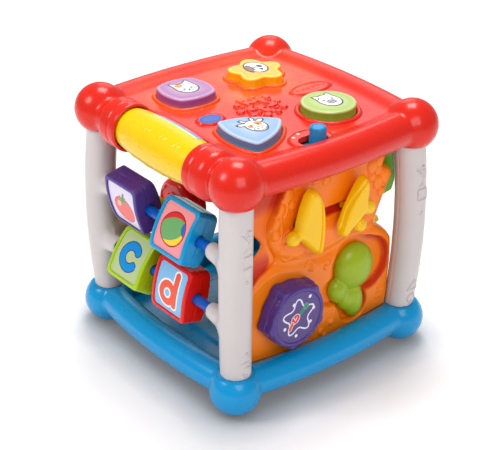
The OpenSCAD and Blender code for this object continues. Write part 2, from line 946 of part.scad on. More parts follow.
gear_yellow_at = [-15, 55.4];
gear_red_at = gear_yellow_at + 42 * [cos(55), sin(55)];
gear_purple_at = gear_red_at + 32 * [cos(-30), sin(-30)];

module gear_panel() {
    color("limegreen")
    gear_side() difference() {
        intersection() {
            union() {
                panel_extrude(plate_x - plate_t, plate_t) {
                    gear_plan();
                    translate([-50, tray_z + 0.1]) square([100, 8]);
                }
                panel_extrude(plate_x - 0.1, lobe_rise + 0.1) difference() {
                    gear_plan();
                    translate(gear_yellow_at) circle(29.5);
                    translate(gear_red_at) circle(23.5);
                    translate(gear_purple_at) circle(19.5);
                }
                shaft_posts(screw_spots);
            }
            mitre();
        }
        for (p = [gear_yellow_at, gear_red_at, gear_purple_at])
            translate([0, p[0], p[1]]) rod_x(2.6, plate_x - 10, 80);
        for (p = screw_spots) translate([0, p[0], p[1]]) rod_x(1.2, plate_x - 8, plate_x - 1);
        column_clearance(column_r + 0.4);
        rail_clearance();
        // Notch for the bead rod's boss
        translate([0, bead_reach, bead_rod_z - 1.3]) rod_x(8, 45, 70);
    }
}

module gear_panel_back() {
    color("limegreen")
    gear_side() panel_back();
}

module panel_screws() {
    color("silver")
    for (turn = [0, 90]) rotate([0, 0, turn])
        for (p = screw_spots)
            translate([plate_x - plate_t - 6.4, p[0], p[1]]) rotate([0, 90, 0]) screw(1.2, 7.8);
}

// ---- Music panel's moving pieces ----
cymbal_left_points = [
    [-16.2, 130.6], [-12.2, 129.6], [-9, 125], [-7.3, 118], [-6.8, 108], [-7.2, 96], [-8, 88.4], [-9.6, 86.2],
    [-12.6, 86.8], [-17, 91], [-20, 95.4], [-22.6, 98.4], [-26.8, 97.4], [-30.4, 97.2], [-33.2, 99.4],
    [-34, 102.6], [-33, 106], [-30.4, 107.8], [-27.2, 108], [-26.6, 112], [-26.2, 118.3], [-23.6, 125],
    [-20, 129.2]];
cymbal_right_points = [
    [25.8, 127.3], [21.4, 125.8], [15.4, 119.4], [9.6, 111], [5.6, 103.4], [4.4, 98.4], [5.4, 93.6], [8.2, 90.9],
    [11.6, 91.2], [15.4, 94.2], [19.2, 96], [20.6, 91.6], [24.4, 89.4], [28.2, 91.4], [29, 95.4], [28, 99.2],
    [31.4, 98.6], [35.2, 100.6], [36.2, 104.4], [34.6, 108], [31.2, 109.4], [29.8, 112], [30.4, 118],
    [29.2, 124.2]];
cymbal_x = 66.5;
cymbal_t = 7;

module cymbal(points, stem_y) {
    panel_extrude(cymbal_x, cymbal_t) polygon(points);
    translate([plate_x - 3, stem_y - 4, slot_z - slot_h / 2 + 0.3])
        cube([cymbal_x - plate_x + 4, 8, slot_h - 0.6]);
}

module cymbal_left() {
    color("gold") cymbal(cymbal_left_points, -15);
}

module cymbal_right() {
    color("gold") cymbal(cymbal_right_points, 17);
}

module cymbal_clip(stem_y) {
    translate([plate_x - plate_t - 2.4, stem_y - 6, slot_z - 5]) cube([2, 12, 10]);
}

module cymbal_left_clip() {
    color("silver") cymbal_clip(-15);
}

module cymbal_right_clip() {
    color("silver") cymbal_clip(17);
}

// Radius of the drum's edge at an angle, with five rounded tips
function drum_edge(a) =
    let (t = (a + 62) % 72 - 36)
    drum_r + (abs(t) < 12 ? 2.4 * cos(t * 7.5) : 0);

module tambourine() {
    color("rebeccapurple")
    translate([0, drum_at[0], drum_at[1]]) difference() {
        panel_extrude(panel_face + 0.5, drum_t - 0.5)
            polygon([for (a = [0:4:356]) [drum_edge(a) * cos(a), drum_edge(a) * sin(a)]]);
        rod_x(2.6, panel_face, panel_face + drum_t - 2.5);
        difference() {
            rod_x(drum_r - 2.2, panel_face, panel_face + drum_t - 2.4);
            rod_x(5.2, panel_face - 1, panel_face + drum_t);
        }
    }
}

module tambourine_pin() {
    color("silver")
    translate([0, drum_at[0], drum_at[1]]) {
        rod_x(2.55, plate_x - plate_t - 1, panel_face + drum_t - 3);
        rod_x(4.5, plate_x - plate_t - 2.4, plate_x - plate_t - 0.1);
    }
}

maraca_x = plate_x + 0.6;
maraca_t = 9.4;
maraca_foot_t = 5;

module maraca_plan() {
    translate([28, 64.6]) circle(16);
    translate([28, 62.4]) circle(15.6);
    translate([11.4, 49.6]) circle(8.2);
    hull() {
        translate([22.5, 44]) circle(8);
        translate([28.6, 34]) circle(8.3);
    }
    hull() {
        translate([13, 48.6]) circle(6.8);
        translate([21, 45]) circle(6.8);
    }
}

// Its foot is thinner, to pass behind the blue rail as it swings
module maraca() {
    color("yellowgreen")
    difference() {
        union() {
            panel_extrude(maraca_x, maraca_foot_t) maraca_plan();
            panel_extrude(maraca_x, maraca_t) intersection() {
                maraca_plan();
                translate(maraca_pivot) polygon([[-40, -6.2], [0, -6.2],
                    [40, -6.2 + 40 * tan(maraca_swing)], [40, 90], [-40, 90]]);
            }
            translate([0, maraca_pivot[0], maraca_pivot[1]]) rod_x(4, plate_x + 0.35, maraca_x + 1);
        }
        translate([0, maraca_pivot[0], maraca_pivot[1]])
            rod_x(2.6, plate_x - 10, maraca_x + maraca_foot_t - 0.8);
    }
}

module maraca_pin() {
    color("silver")
    translate([0, maraca_pivot[0], maraca_pivot[1]]) {
        rod_x(2.55, plate_x - plate_t - 1, maraca_x + maraca_foot_t - 1);
        rod_x(4.5, plate_x - plate_t - 2.4, plate_x - plate_t - 0.1);
    }
}

// ---- Play gears ----
function tooth_points(n, m, phase) = [
    for (i = [0:n - 1])
        let (a = phase + i * 360 / n, w = 360 / n, r = m * n / 2)
        for (p = [[-0.34, -1.05], [-0.13, 0.75], [0.13, 0.75], [0.34, -1.05]])
            [(r + p[1] * m) * cos(a + p[0] * w), (r + p[1] * m) * sin(a + p[0] * w)]];

gear_x = panel_face + 0.8;
gear_t = 9;
knob_reach = 83.6;

module play_gear(at, n, phase, knob_at) {
    translate([0, at[0], at[1]]) difference() {
        union() {
            panel_extrude(gear_x, gear_t) polygon(tooth_points(n, gear_module, phase));
            rod_x(5.4, plate_x + 0.4, gear_x + gear_t);
            if (knob_at > 0) rotate([phase + 45, 0, 0]) translate([0, knob_at, 0])
                rod_x(5, gear_x, knob_reach);
        }
        rod_x(2.6, plate_x - 10, gear_x + gear_t - 2.5);
    }
}

module gear_yellow() {
    color("gold") gear_side() play_gear(gear_yellow_at, 12, 55, 15);
}

module gear_red() {
    color("red") gear_side() play_gear(gear_red_at, 9, 255, 0);
}

module gear_purple() {
    color("rebeccapurple") gear_side() play_gear(gear_purple_at, 7, 169.286, 0);
}

module gear_pins() {
    color("silver")
    gear_side() for (p = [gear_yellow_at, gear_red_at, gear_purple_at])
        translate([0, p[0], p[1]]) {
            rod_x(2.55, plate_x - plate_t - 1, gear_x + gear_t - 3);
            rod_x(4.5, plate_x - plate_t - 2.4, plate_x - plate_t - 0.1);
        }
}

base_frame();
base_cover();
column_front();
column_right();
column_back();
column_left();
top_cover();
top_housing();
battery_door();
batteries();
battery_contacts();
circuit_board();
light_emitters();
switch_domes();
speaker();
square_button();
star_button();
triangle_button();
round_button();
mode_slider();
slider_contact();
roller();
roller_axle();
upper_axle();
lower_axle();
block_purple_front();
block_purple_back();
block_blue_front();
block_blue_back();
block_lime_front();
block_lime_back();
block_red_front();
block_red_back();
bead_rod();
bead_lime();
bead_red();
bead_yellow();
music_panel();
music_panel_back();
cymbal_left();
cymbal_right();
cymbal_left_clip();
cymbal_right_clip();
tambourine();
tambourine_pin();
maraca();
maraca_pin();
gear_panel();
gear_panel_back();
gear_yellow();
gear_red();
gear_purple();
gear_pins();
base_screws();
housing_screws();
panel_screws();
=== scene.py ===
import functools, json
from math import asin, ceil, cos, pi, radians, sin, sqrt, tan
import bpy
import numpy as np
from mathutils import Matrix, Vector


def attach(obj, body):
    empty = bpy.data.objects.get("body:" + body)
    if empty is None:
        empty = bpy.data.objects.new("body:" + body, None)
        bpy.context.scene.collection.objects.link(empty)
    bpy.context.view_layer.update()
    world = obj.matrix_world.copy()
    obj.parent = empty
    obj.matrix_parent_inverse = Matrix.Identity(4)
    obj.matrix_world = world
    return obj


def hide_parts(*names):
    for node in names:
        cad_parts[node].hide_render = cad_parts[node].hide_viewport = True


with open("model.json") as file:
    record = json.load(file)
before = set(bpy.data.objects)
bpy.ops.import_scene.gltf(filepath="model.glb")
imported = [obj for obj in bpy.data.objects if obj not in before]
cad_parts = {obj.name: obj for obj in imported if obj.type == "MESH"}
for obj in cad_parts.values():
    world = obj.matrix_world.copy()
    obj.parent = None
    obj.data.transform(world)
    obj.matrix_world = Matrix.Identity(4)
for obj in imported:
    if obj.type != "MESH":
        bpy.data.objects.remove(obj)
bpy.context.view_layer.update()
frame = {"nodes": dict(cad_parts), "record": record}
MM = 0.001
COARSE = 1.0

# ---- solids as distance functions, in mm
def most(*distances):
    return functools.reduce(np.maximum, distances)

def least(*distances):
    return functools.reduce(np.minimum, distances)

def unit(t):
    return np.clip(t, 0, 1)

def length(*parts):
    return np.sqrt(sum(p * p for p in parts))

def union(a, b, k):
    """Both solids, blended over a band of width k."""
    h = most(k - abs(a - b), 0) / k
    return least(a, b) - h * h * k * 0.25

def cut(a, b, k):
    return -union(-a, b, k)

def common(a, b, k):
    return -union(-a, -b, k)

def box2(x, y, hx, hy, r=0.0):
    dx, dy = abs(x) - hx + r, abs(y) - hy + r
    return length(most(dx, 0), most(dy, 0)) + least(most(dx, dy), 0) - r

def seg2(x, y, a, b):
    vx, vy = b[0] - a[0], b[1] - a[1]
    t = unit(((x - a[0]) * vx + (y - a[1]) * vy) / (vx * vx + vy * vy + 1e-12))
    return length(x - a[0] - t * vx, y - a[1] - t * vy)

def path2(x, y, points, closed=False):
    pairs = zip(points, points[1:] + (points[:1] if closed else []))
    return least(*[seg2(x, y, a, b) for a, b in pairs])

def lines(x, y, *paths):
    return least(*[path2(x, y, p) for p in paths])

def polar(r, degrees):
    return r * cos(radians(degrees)), r * sin(radians(degrees))

def poly2(x, y, points):
    """Signed distance to a closed polygon."""
    d = np.full(np.shape(x), 1e9, np.float32)
    inside = np.zeros(np.shape(x), bool)
    for a, b in zip(points, points[1:] + points[:1]):
        d = least(d, seg2(x, y, a, b))
        if a[1] != b[1]:
            crosses = (a[1] > y) != (b[1] > y)
            inside ^= crosses & (x < (b[0] - a[0]) * (y - a[1]) / (b[1] - a[1]) + a[0])
    return np.where(inside, -d, d)

def spline(points, steps=6):
    """A smooth closed loop through points."""
    out = []
    n = len(points)
    p = [np.array(q, float) for q in points]
    for i in range(n):
        a, b, c, d = p[i - 1], p[i], p[(i + 1) % n], p[(i + 2) % n]
        for s in range(steps):
            t = s / steps
            out.append(tuple(0.5 * (2 * b + (c - a) * t + (2 * a - 5 * b + 4 * c - d) * t * t +
                (3 * b - a - 3 * c + d) * t ** 3)))
    return out

def ridge(d, width, rise):
    """Height of a raised line of half-width width along d = 0."""
    t = unit(1 - abs(d) / width)
    return rise * t * t * (3 - 2 * t)

def slab(d2, z, lo, hi, r=0.0):
    """A flat shape between two heights, its edges rounded by r."""
    w = abs(z - (lo + hi) / 2) - (hi - lo) / 2 + r
    d = d2 + r
    return length(most(d, 0), most(w, 0)) + least(most(d, w), 0) - r

# ---- from distance function to mesh
def sample(f, lo, hi, h):
    """f on a grid over lo..hi, worked out in full only in the blocks near its surface."""
    n = [int(ceil((b - a) / h)) + 3 for a, b in zip(lo, hi)]
    block = 8
    nb = [int(ceil(k / block)) for k in n]
    o = np.array(lo, np.float32) - h
    grid = np.full([k * block for k in nb], 1e3, np.float32)
    centres = np.stack(np.meshgrid(*[np.arange(k) for k in nb], indexing="ij"), -1).reshape(-1, 3)
    mid = o + (centres * block + (block - 1) / 2) * h
    d = f(*mid.astype(np.float32).T)
    reach = block * h * 0.5 * sqrt(3) * 1.25 + 1.0
    near = abs(d) < reach
    for c, v in zip(centres[~near], d[~near]):
        grid[tuple(slice(i * block, i * block + block) for i in c)] = v
    cells = np.stack(np.meshgrid(*[np.arange(block)] * 3, indexing="ij"), -1).reshape(-1, 3)
    picked = centres[near]
    for i in range(0, len(picked), 400):
        part = picked[i:i + 400]
        idx = (part[:, None, :] * block + cells[None]).reshape(-1, 3)
        v = f(*(o + idx * h).astype(np.float32).T)
        grid[idx[:, 0], idx[:, 1], idx[:, 2]] = v
    return grid, o

def nets(grid, o, h):
    """Surface nets: one point in each cell that the surface crosses, one quad round each crossed edge."""
    inside = grid < 0
    corner = [inside[i:inside.shape[0] - 1 + i, j:inside.shape[1] - 1 + j, k:inside.shape[2] - 1 + k]
        for i in (0, 1) for j in (0, 1) for k in (0, 1)]
    count = sum(c.astype(np.uint8) for c in corner)
    active = (count > 0) & (count < 8)
    cell = np.argwhere(active)
    index = np.full(active.shape, -1, np.int64)
    index[active] = np.arange(len(cell))
    total = np.zeros((len(cell), 3))
    hits = np.zeros(len(cell))
    for axis in range(3):
        e = np.eye(3, dtype=int)[axis]
        others = [k for k in range(3) if k != axis]
        for i in (0, 1):
            for j in (0, 1):
                off = np.zeros(3, int)
                off[others[0]], off[others[1]] = i, j
                a, b = cell + off, cell + off + e
                fa, fb = grid[tuple(a.T)], grid[tuple(b.T)]
                m = (fa < 0) != (fb < 0)
                t = fa[m] / (fa[m] - fb[m])
                total[m] += off + t[:, None] * e
                hits[m] += 1
    verts = o + (cell + total / hits[:, None]) * h
    quads = []
    for axis in range(3):
        b, c = (axis + 1) % 3, (axis + 2) % 3
        eb, ec = np.eye(3, dtype=int)[b], np.eye(3, dtype=int)[c]
        lo = [slice(None)] * 3
        hi = [slice(None)] * 3
        lo[axis], hi[axis] = slice(0, -1), slice(1, None)
        change = inside[tuple(lo)] != inside[tuple(hi)]
        p = np.argwhere(change)
        p = p[(p[:, b] > 0) & (p[:, c] > 0) & (p[:, b] < inside.shape[b] - 1) & (p[:, c] < inside.shape[c] - 1)]
        q = np.stack([index[tuple((p - eb - ec).T)], index[tuple((p - ec).T)], index[tuple(p.T)],
            index[tuple((p - eb).T)]], 1)
        outward = inside[tuple(p.T)]
        q[~outward] = q[~outward][:, ::-1]
        quads.append(q)
    return verts, np.concatenate(quads)

def slope(f, v, e):
    """The gradient of f at the points v, over steps of e."""
    g = np.empty_like(v)
    for k in range(3):
        d = np.zeros(3, np.float32)
        d[k] = e
        g[:, k] = (f(*(v + d).T) - f(*(v - d).T)) / (2 * e)
    return g

def put(name, data):
    """A new object in the scene."""
    obj = bpy.data.objects.new(name, data)
    bpy.context.scene.collection.objects.link(obj)
    return obj

MOST_QUADS = 95000  # in any one piece

def solid(name, f, lo, hi, h, material, body, stands_for=(), slot=None, soft=0.25):
    """Meshes f's zero surface inside the box lo..hi, with normals taken from f."""
    h *= COARSE
    grid, o = sample(f, lo, hi, h)
    v, q = nets(grid, o, h)
    v = v.astype(np.float32)
    for _ in range(3):
        g = slope(f, v, 0.05)
        step = f(*v.T) / most((g * g).sum(1), 0.25)
        v -= np.clip(step, -h, h)[:, None] * g
    mesh = bpy.data.meshes.new(name)
    mesh.vertices.add(len(v))
    mesh.vertices.foreach_set("co", (v * MM).ravel())
    mesh.loops.add(len(q) * 4)
    mesh.loops.foreach_set("vertex_index", q.ravel())
    mesh.polygons.add(len(q))
    mesh.polygons.foreach_set("loop_start", np.arange(len(q)) * 4)
    mesh.update(calc_edges=True)
    obj = put(name, mesh)
    if len(q) > MOST_QUADS:
        thin = obj.modifiers.new("thin", "DECIMATE")
        thin.ratio = MOST_QUADS / len(q)
        bpy.context.view_layer.update()
        mesh = bpy.data.meshes.new_from_object(obj.evaluated_get(bpy.context.evaluated_depsgraph_get()))
        obj.modifiers.clear()
        obj.data = mesh
    n = slope(f, corners(mesh), soft)
    n /= most(np.linalg.norm(n, axis=1), 1e-6)[:, None]
    mesh.polygons.foreach_set("use_smooth", np.ones(len(mesh.polygons), bool))
    mesh.normals_split_custom_set_from_vertices(n.tolist())
    mesh.materials.append(material)
    finish_piece(obj, body, stands_for, slot)
    return obj

def corners(mesh):
    """The mesh's points, in mm."""
    co = np.empty(len(mesh.vertices) * 3, np.float32)
    mesh.vertices.foreach_get("co", co)
    return co.reshape(-1, 3) / MM

def finish_piece(obj, body, stands_for=(), slot=None):
    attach(obj, body)
    if stands_for:
        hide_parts(*stands_for)

# ---- materials
def linear(rgb):
    """A display colour of 0 to 255 as linear red, green, blue and alpha."""
    return tuple(c / 12.92 if c <= 0.04045 else ((c + 0.055) / 1.055) ** 2.4
        for c in (x / 255 for x in rgb)) + (1,)

def add_node(tree, kind, **sockets):
    """A new node; each socket is given a value or is linked to another node's output."""
    node = tree.nodes.new("ShaderNode" + kind)
    for key, value in sockets.items():
        plug(tree, value, node.inputs[key.replace("_", " ")])
    return node

def plug(tree, value, socket):
    if isinstance(value, bpy.types.NodeSocket):
        tree.links.new(value, socket)
    else:
        socket.default_value = value

def plastic(name, rgb, rough=0.26, mottle=0.05, bump=0.04, clear=0.0, inner=0.06, glow=0.0):
    """Moulded plastic: faint colour mottle, a fine mould texture and uneven gloss."""
    mat = bpy.data.materials.new(name)
    mat.use_nodes = True
    tree = mat.node_tree
    base = linear(rgb)
    coords = tree.nodes.new("ShaderNodeTexCoord").outputs["Object"]
    def noise(scale, detail):
        return add_node(tree, "TexNoise", Vector=coords, Scale=scale, Detail=detail).outputs["Fac"]
    ramp = add_node(tree, "ValToRGB", Fac=noise(28, 3))
    for stop, change in zip(ramp.color_ramp.elements, (-mottle, mottle)):
        stop.color = tuple(min(1, c * (1 + change)) for c in base[:3]) + (1,)
    gloss = add_node(tree, "MapRange", Value=noise(70, 4), To_Min=rough * 0.8, To_Max=rough * 1.25)
    bumps = add_node(tree, "Bump", Height=noise(900, 2), Strength=bump, Distance=0.0002)
    settings = {"Base Color": ramp.outputs["Color"], "Roughness": gloss.outputs["Result"],
        "Normal": bumps.outputs["Normal"], "IOR": 1.46, "Specular IOR Level": 0.34, "Coat Weight": 0.15,
        "Coat Roughness": 0.1, "Transmission Weight": clear}
    if inner:
        settings.update({"Subsurface Weight": inner, "Subsurface Radius": (0.004, 0.002, 0.001),
            "Subsurface Scale": 0.5})
    if glow:
        settings.update({"Emission Color": base, "Emission Strength": glow})
    for key, value in settings.items():
        plug(tree, value, tree.nodes["Principled BSDF"].inputs[key])
    return mat

def recolour(mat, colour, factor, blend="MIX"):
    """Mixes a colour over the plastic's own."""
    tree = mat.node_tree
    base = tree.nodes["Principled BSDF"].inputs["Base Color"]
    mix = tree.nodes.new("ShaderNodeMix")
    mix.data_type, mix.blend_type = "RGBA", blend
    for number, value in ((0, factor), (6, base.links[0].from_socket), (7, colour)):
        plug(tree, value, mix.inputs[number])
    tree.links.new(mix.outputs[2], base)

def layer(mat, name, output):
    """What the mesh's attribute says, as a node's output."""
    node = mat.node_tree.nodes.new("ShaderNodeAttribute")
    node.attribute_name = name
    return node.outputs[output]

RED = plastic("red_plastic", (224, 36, 20))
BLUE = plastic("blue_plastic", (0, 152, 214))
WHITE = plastic("white_plastic", (210, 202, 201), rough=0.3)
YELLOW = plastic("yellow_plastic", (244, 202, 0))
AXLE = plastic("axle_plastic", (0, 88, 186))
ORANGE = plastic("orange_plastic", (255, 130, 10), rough=0.3)
PURPLE = plastic("purple_plastic", (82, 56, 136))
CYMBAL = plastic("cymbal_plastic", (250, 196, 0), rough=0.3)
MARACA = plastic("maraca_plastic", (156, 182, 26))
LIME = plastic("lime_plastic", (172, 206, 20))
SKY = plastic("sky_plastic", (0, 152, 212))
SCARLET = plastic("scarlet_plastic", (226, 22, 18))
GREEN = plastic("green_plastic", (106, 172, 44))
SWITCH = plastic("switch_plastic", (24, 140, 200))
STEEL = plastic("zinc_steel", (170, 172, 176), rough=0.35)
BRASS = plastic("brass_strip", (200, 165, 90), rough=0.3)
for metal in (STEEL, BRASS):
    metal.node_tree.nodes["Principled BSDF"].inputs["Metallic"].default_value = 1
BOARD = plastic("board_lacquer", (16, 84, 48))
CELL = plastic("cell_sleeve", (34, 38, 46))

def tint_material(mat, rgb):
    """Mixes a second colour into a plastic wherever its mesh's tint says so."""
    recolour(mat, linear(rgb), layer(mat, "tint", "Fac"))

def tinted(obj, f):
    """Stores f(x, y, z) in mm as the mesh's tint, which its material reads."""
    tint = obj.data.attributes.new("tint", "FLOAT", "POINT")
    tint.data.foreach_set("value", unit(f(*corners(obj.data).T)).astype(np.float32))

# a second red plastic that turns orange where its mesh's tint says so: painted glow from the lit buttons on the
# deck
RED_PAINTED_GLOW = plastic("red_plastic_painted_glow", (224, 36, 20))
tint_material(RED_PAINTED_GLOW, (255, 126, 34))

# ---- the frame's shared numbers, in mm
HALF = 66.0
BASE_RAIL, TOP_RAIL, BASE_BALL = 17.5, 147.3, 15
COLUMN_SOCKET, AXLE_BORE = 10.6, 3.3

def bow(chord, rise):
    return (chord * chord / 4 + rise * rise) / (2 * rise)

def bowed_square(x, y, half_width, rise):
    big = bow(2 * HALF, rise)
    back = half_width + rise - big
    return most(length(x - back, y) - big, length(x + back, y) - big, length(x, y - back) - big,
        length(x, y + back) - big)

def rail(u, v, z, zc, r, rise):
    """A round rail whose chord runs along v at u = HALF and bows towards +u."""
    big = bow(2 * HALF, rise)
    q = length(u - (HALF + rise - big), v) - big
    return most(length(q, z - zc) - r, abs(v) - HALF)

def rails(sides, z, zc, r, rise):
    """Rails on several sides, each given as its (outward, along) pair."""
    return least(*[rail(u, v, z, zc, r, rise) for u, v in sides])

def balls(x, y, z, zc, r):
    """The four corner balls at height zc."""
    return length(abs(x) - HALF, abs(y) - HALF, z - zc) - r

# ---- base
def column_sockets(x, y, z, lo, hi):
    """The round recesses that take the columns' ends."""
    return slab(length(abs(x) - HALF, abs(y) - HALF) - COLUMN_SOCKET, z, lo, hi, 0)

def base(x, y, z):
    d = rails([(x, y), (-x, y), (y, x), (-y, x)], z, BASE_RAIL, 9.5, 6)
    tray = slab(bowed_square(x, y, HALF - 1, 6), z, 9.5, 19, 0.3)
    d = union(d, tray, 2.0)
    basin = slab(bowed_square(x, y, 59.5, 3.5), z, 12, 40, 1.5)
    d = cut(d, basin, 1.6)
    plateau = slab(bowed_square(x, y, 41, 2.5), z, 8, 13.8, 1.2)
    d = union(d, plateau, 1.2)
    d = union(d, balls(x, y, z, BASE_BALL, 15.5), 1.2)
    d = cut(d, column_sockets(x, y, z, 26, 60), 0.8)
    return most(d, -z)

solid("base_shell", base, (-83, -83, -1), (83, 83, 31), 0.85, BLUE, "frame", stands_for=["base_frame"],
    slot="blue_base")

# ---- top cover
DECK = 154.0
ROLL_Y, ROLL_Z = -66.5, 146.5
CUP_LEFT, CUP_RIGHT = -29.5, 35.5
BUTTON_AT = [(-34, -25.6), (-32.6, 27.6), (34.5, -30), (32.8, 29)]
SPEAKER, SLIDER = (3.6, 0.7), (59, -2.3)

def bulged(n, big, corner, bulge, first):
    """Outline of an n-sided shape with bulging sides and round corners."""
    h, ap = (big - corner) * sin(pi / n), (big - corner) * cos(pi / n)
    q = (h * h + bulge * bulge) / (2 * bulge)
    beta = asin(h / q)
    def beyond(r, a, more, b):
        return r * cos(a) + more * cos(b), r * sin(a) + more * sin(b)
    pts = []
    for i in range(n):
        at = radians(first) + i * 2 * pi / n
        mid = at + pi / n
        pts += [beyond(big - corner, at, corner, at + t * (pi / n - beta)) for t in np.linspace(-1, 1, 7)]
        pts += [beyond(bulge + ap - q, mid, q + corner, mid + t * beta) for t in np.linspace(-1, 1, 12)[1:-1]]
    return pts

SQUARE_LINE = bulged(4, 17.8, 3.2, 2.4, 45)
TRIANGLE_LINE = bulged(3, 20.8, 3, 3, 90)
STAR_LINE = [polar(13 + 5 * ((1 + cos(radians(5 * a - 450))) / 2) ** 0.8, a) for a in range(0, 360, 6)]

def slider_slot(x, y):
    """Distance to the line that the slider runs on."""
    return seg2(x, y, (SLIDER[0], SLIDER[1] + 0.3), (SLIDER[0], SLIDER[1] - 6.7))

def spot(u, v, at, r):
    """Distance to a circle of radius r round the point at."""
    return length(u - at[0], v - at[1]) - r

def shape_distance(which, x, y):
    """Distance on the deck to the outline of a button: 0 square, 1 star, 2 triangle, 3 round."""
    u, v = x - BUTTON_AT[which][0], y - BUTTON_AT[which][1]
    if which == 3:
        return length(u, v) - 16.5
    d = length(u, v) - 21
    near = d < 8
    if near.any():
        d[near] = poly2(u[near], v[near], (SQUARE_LINE, STAR_LINE, TRIANGLE_LINE)[which])
    return d

def cup(x, y, z, mouth, way):
    """A roller cup; way is -1 for the cup on the left and +1 for the one on the right."""
    rho = length(y - ROLL_Y, z - ROLL_Z)
    s = (x - mouth) * way
    body = box2(s - 10.5, rho, 10.5, 15.1, 2.2)
    end = length(most(s - 13, 0), most(rho - 7.2, 0)) - 7.9
    body = most(body, end)
    body = cut(body, length(s - 6.8, rho - 15.9) - 1.15, 0.8)
    neck = most(rho - 11, s * -1 + 12, s - 28)
    d = union(body, neck, 3)
    hollow = most(rho - 13.3, s - 6.5)
    return cut(d, hollow, 1.2)

def deck_relief(x, y):
    """Height of the raised drawings on the deck, in mm."""
    def rise(d, high, width=0.9):
        return high * unit(0.5 - d / width)
    u, v = x - SPEAKER[0], y - SPEAKER[1]
    rho, ang = length(u, v), np.arctan2(v, u)
    marks = [rise(rho - 11.6, 0.5), rise(abs(rho - 4.4 - 0.9 * np.cos(5 * ang + 2.2)) - 0.5, 1.4),
        rise(rho - (8.6 + 2.4 * np.cos(5 * ang + 0.6)), 1.5) * (rho > 5.4 + np.cos(5 * ang))]
    for k in range(10):
        a, odd = k * pi / 5 + 0.3, k % 2
        far = 13.6 + 0.5 * odd
        marks.append(rise(spot(u, v, (far * cos(a), far * sin(a)), 2.6 if odd else 1.9), 1.6 - 0.3 * (k % 3)))
        a += 0.3
        marks.append(rise(spot(u, v, (10.4 * cos(a), 10.4 * sin(a)), 1.2), 1.7))
    def plaque(x0, y0, rx, ry, high, lip_in, lip_high):
        oval = (length((x - x0) / rx, (y - y0) / ry) - 1) * rx
        return [rise(oval, high), rise(abs(oval + lip_in) - 0.5, lip_high)]
    marks += plaque(0.7, 43.2, 7.4, 16.0, 0.5, 0.7, 1.1)
    for k in range(6):
        zigzag = [(-1.5 + k % 2, 32 + 4 * k), (1.2, 33.4 + 4 * k), (-0.8, 34.6 + 4 * k)]
        marks.append(rise(path2(x, y, zigzag) - 0.45, 0.9))
    marks += plaque(1.5, -34.2, 7.4, 9.4, 0.95, 0.7, 1.4)
    marks += plaque(57.0, -5.4, 11.4, 14.4, 0.8, 0.8, 1.3)
    marks.append(rise(abs(x - 67.6 + 0.0012 * y * y) - 0.35, 0.7) * (abs(y) < 46))
    return most(*marks)

def top(x, y, z):
    d = rails([(x, y), (-x, y), (y, x)], z, TOP_RAIL, 10, 5)
    plan = bowed_square(x, y, HALF, 5)
    gap = most(y + 52.3, CUP_LEFT - x, x - CUP_RIGHT)
    plan = most(plan, -gap)
    plan = most(plan, ROLL_Y - y)
    d = union(d, slab(plan, z, 151.3, DECK, 0.6), 5.0)
    rho = length(y - ROLL_Y, z - ROLL_Z)
    trough = most(abs(rho - 16.5) - 0.9, ROLL_Y + 4 - y, CUP_LEFT - 1 - x, x - CUP_RIGHT - 1, z - DECK)
    d = most(d, -most(rho - 15.6, CUP_LEFT - x, x - CUP_RIGHT))
    d = union(d, trough, 0.6)
    for part in (balls(x, y, z, TOP_RAIL, 15.7), cup(x, y, z, CUP_LEFT, -1), cup(x, y, z, CUP_RIGHT, 1)):
        d = union(d, part, 1.6)
    for which in range(4):
        d = cut(d, most(shape_distance(which, x, y) - 0.5, abs(z - 152) - 12), 0.3)
    d = cut(d, most(slider_slot(x, y) - 5.7, abs(z - 156) - 10), 0.8)
    d = most(d, -most(box2(x - 59, y + 5.5, 7.5, 12), abs(z - 147.7) - 3.6))
    for ring in range(3):
        for k in range(max(1, ring * 6)):
            u, v = polar(4.6 * ring, k * 60 / max(ring, 1))
            d = most(d, -spot(x, y, (SPEAKER[0] + u, SPEAKER[1] + v), 0.9))
    return cut(d, column_sockets(x, y, z, 100, 140.7), 0.8)

top_piece = solid("top_shell", top, (-84, -84, 127), (84, 84, 164), 0.75, RED_PAINTED_GLOW, "frame",
    stands_for=["top_cover"], slot="red_top")

def painted_button_glow(x, y, z):
    """Painted glow: how far the deck's colour warms towards orange round the star, square and triangle buttons
    and in a patch between the star and the speaker, on the upper surfaces only.
    """
    glows = [bright * np.exp(-most(shape_distance(which, x, y), 0) / far)
        for which, bright, far in ((1, 0.75, 8.0), (0, 0.6, 6.0), (2, 0.375, 4.0))]
    middle = 0.55 * np.exp(-(length(x + 16, y - 4) / 15) ** 2)
    return most(middle, *glows) * unit((z - 149) / 4)

# the top shell's tint is the painted button glow
tinted(top_piece, painted_button_glow)

def ornament(x, y, z):
    """The raised drawings, badges and lips on the deck."""
    h = deck_relief(x, y)
    for which in range(4):
        s = shape_distance(which, x, y)
        wide = 1.7 if which == 3 else 1.4
        h = most(h, 1.4 * np.sqrt(unit(1 - ((s - wide - 0.25) / wide) ** 2)))
        h = np.where(s < 0.35, 0, h)
    h = np.where(slider_slot(x, y) < 5.9, 0, h)
    return most((z - DECK - h) * 0.7, DECK - 0.5 - z, 0.06 - h)

# the deck ornament's tint is the same painted button glow
tinted(solid("deck_ornament", ornament, (-56, -53, 153), (70, 64, 156.6), 0.42, RED_PAINTED_GLOW, "frame",
    slot="red_top", soft=0.15), painted_button_glow)

# ---- columns
def post(u, v, z):
    """Distances from the bowed centre line of a column at the corner (+u, +v): outwards and across."""
    big = bow(131.8, 4.5)
    p, q = (u + v) / sqrt(2) - 64.5 * sqrt(2), (v - u) / sqrt(2)
    return length(p - 4.5 + big, z - 81.4) - big, q

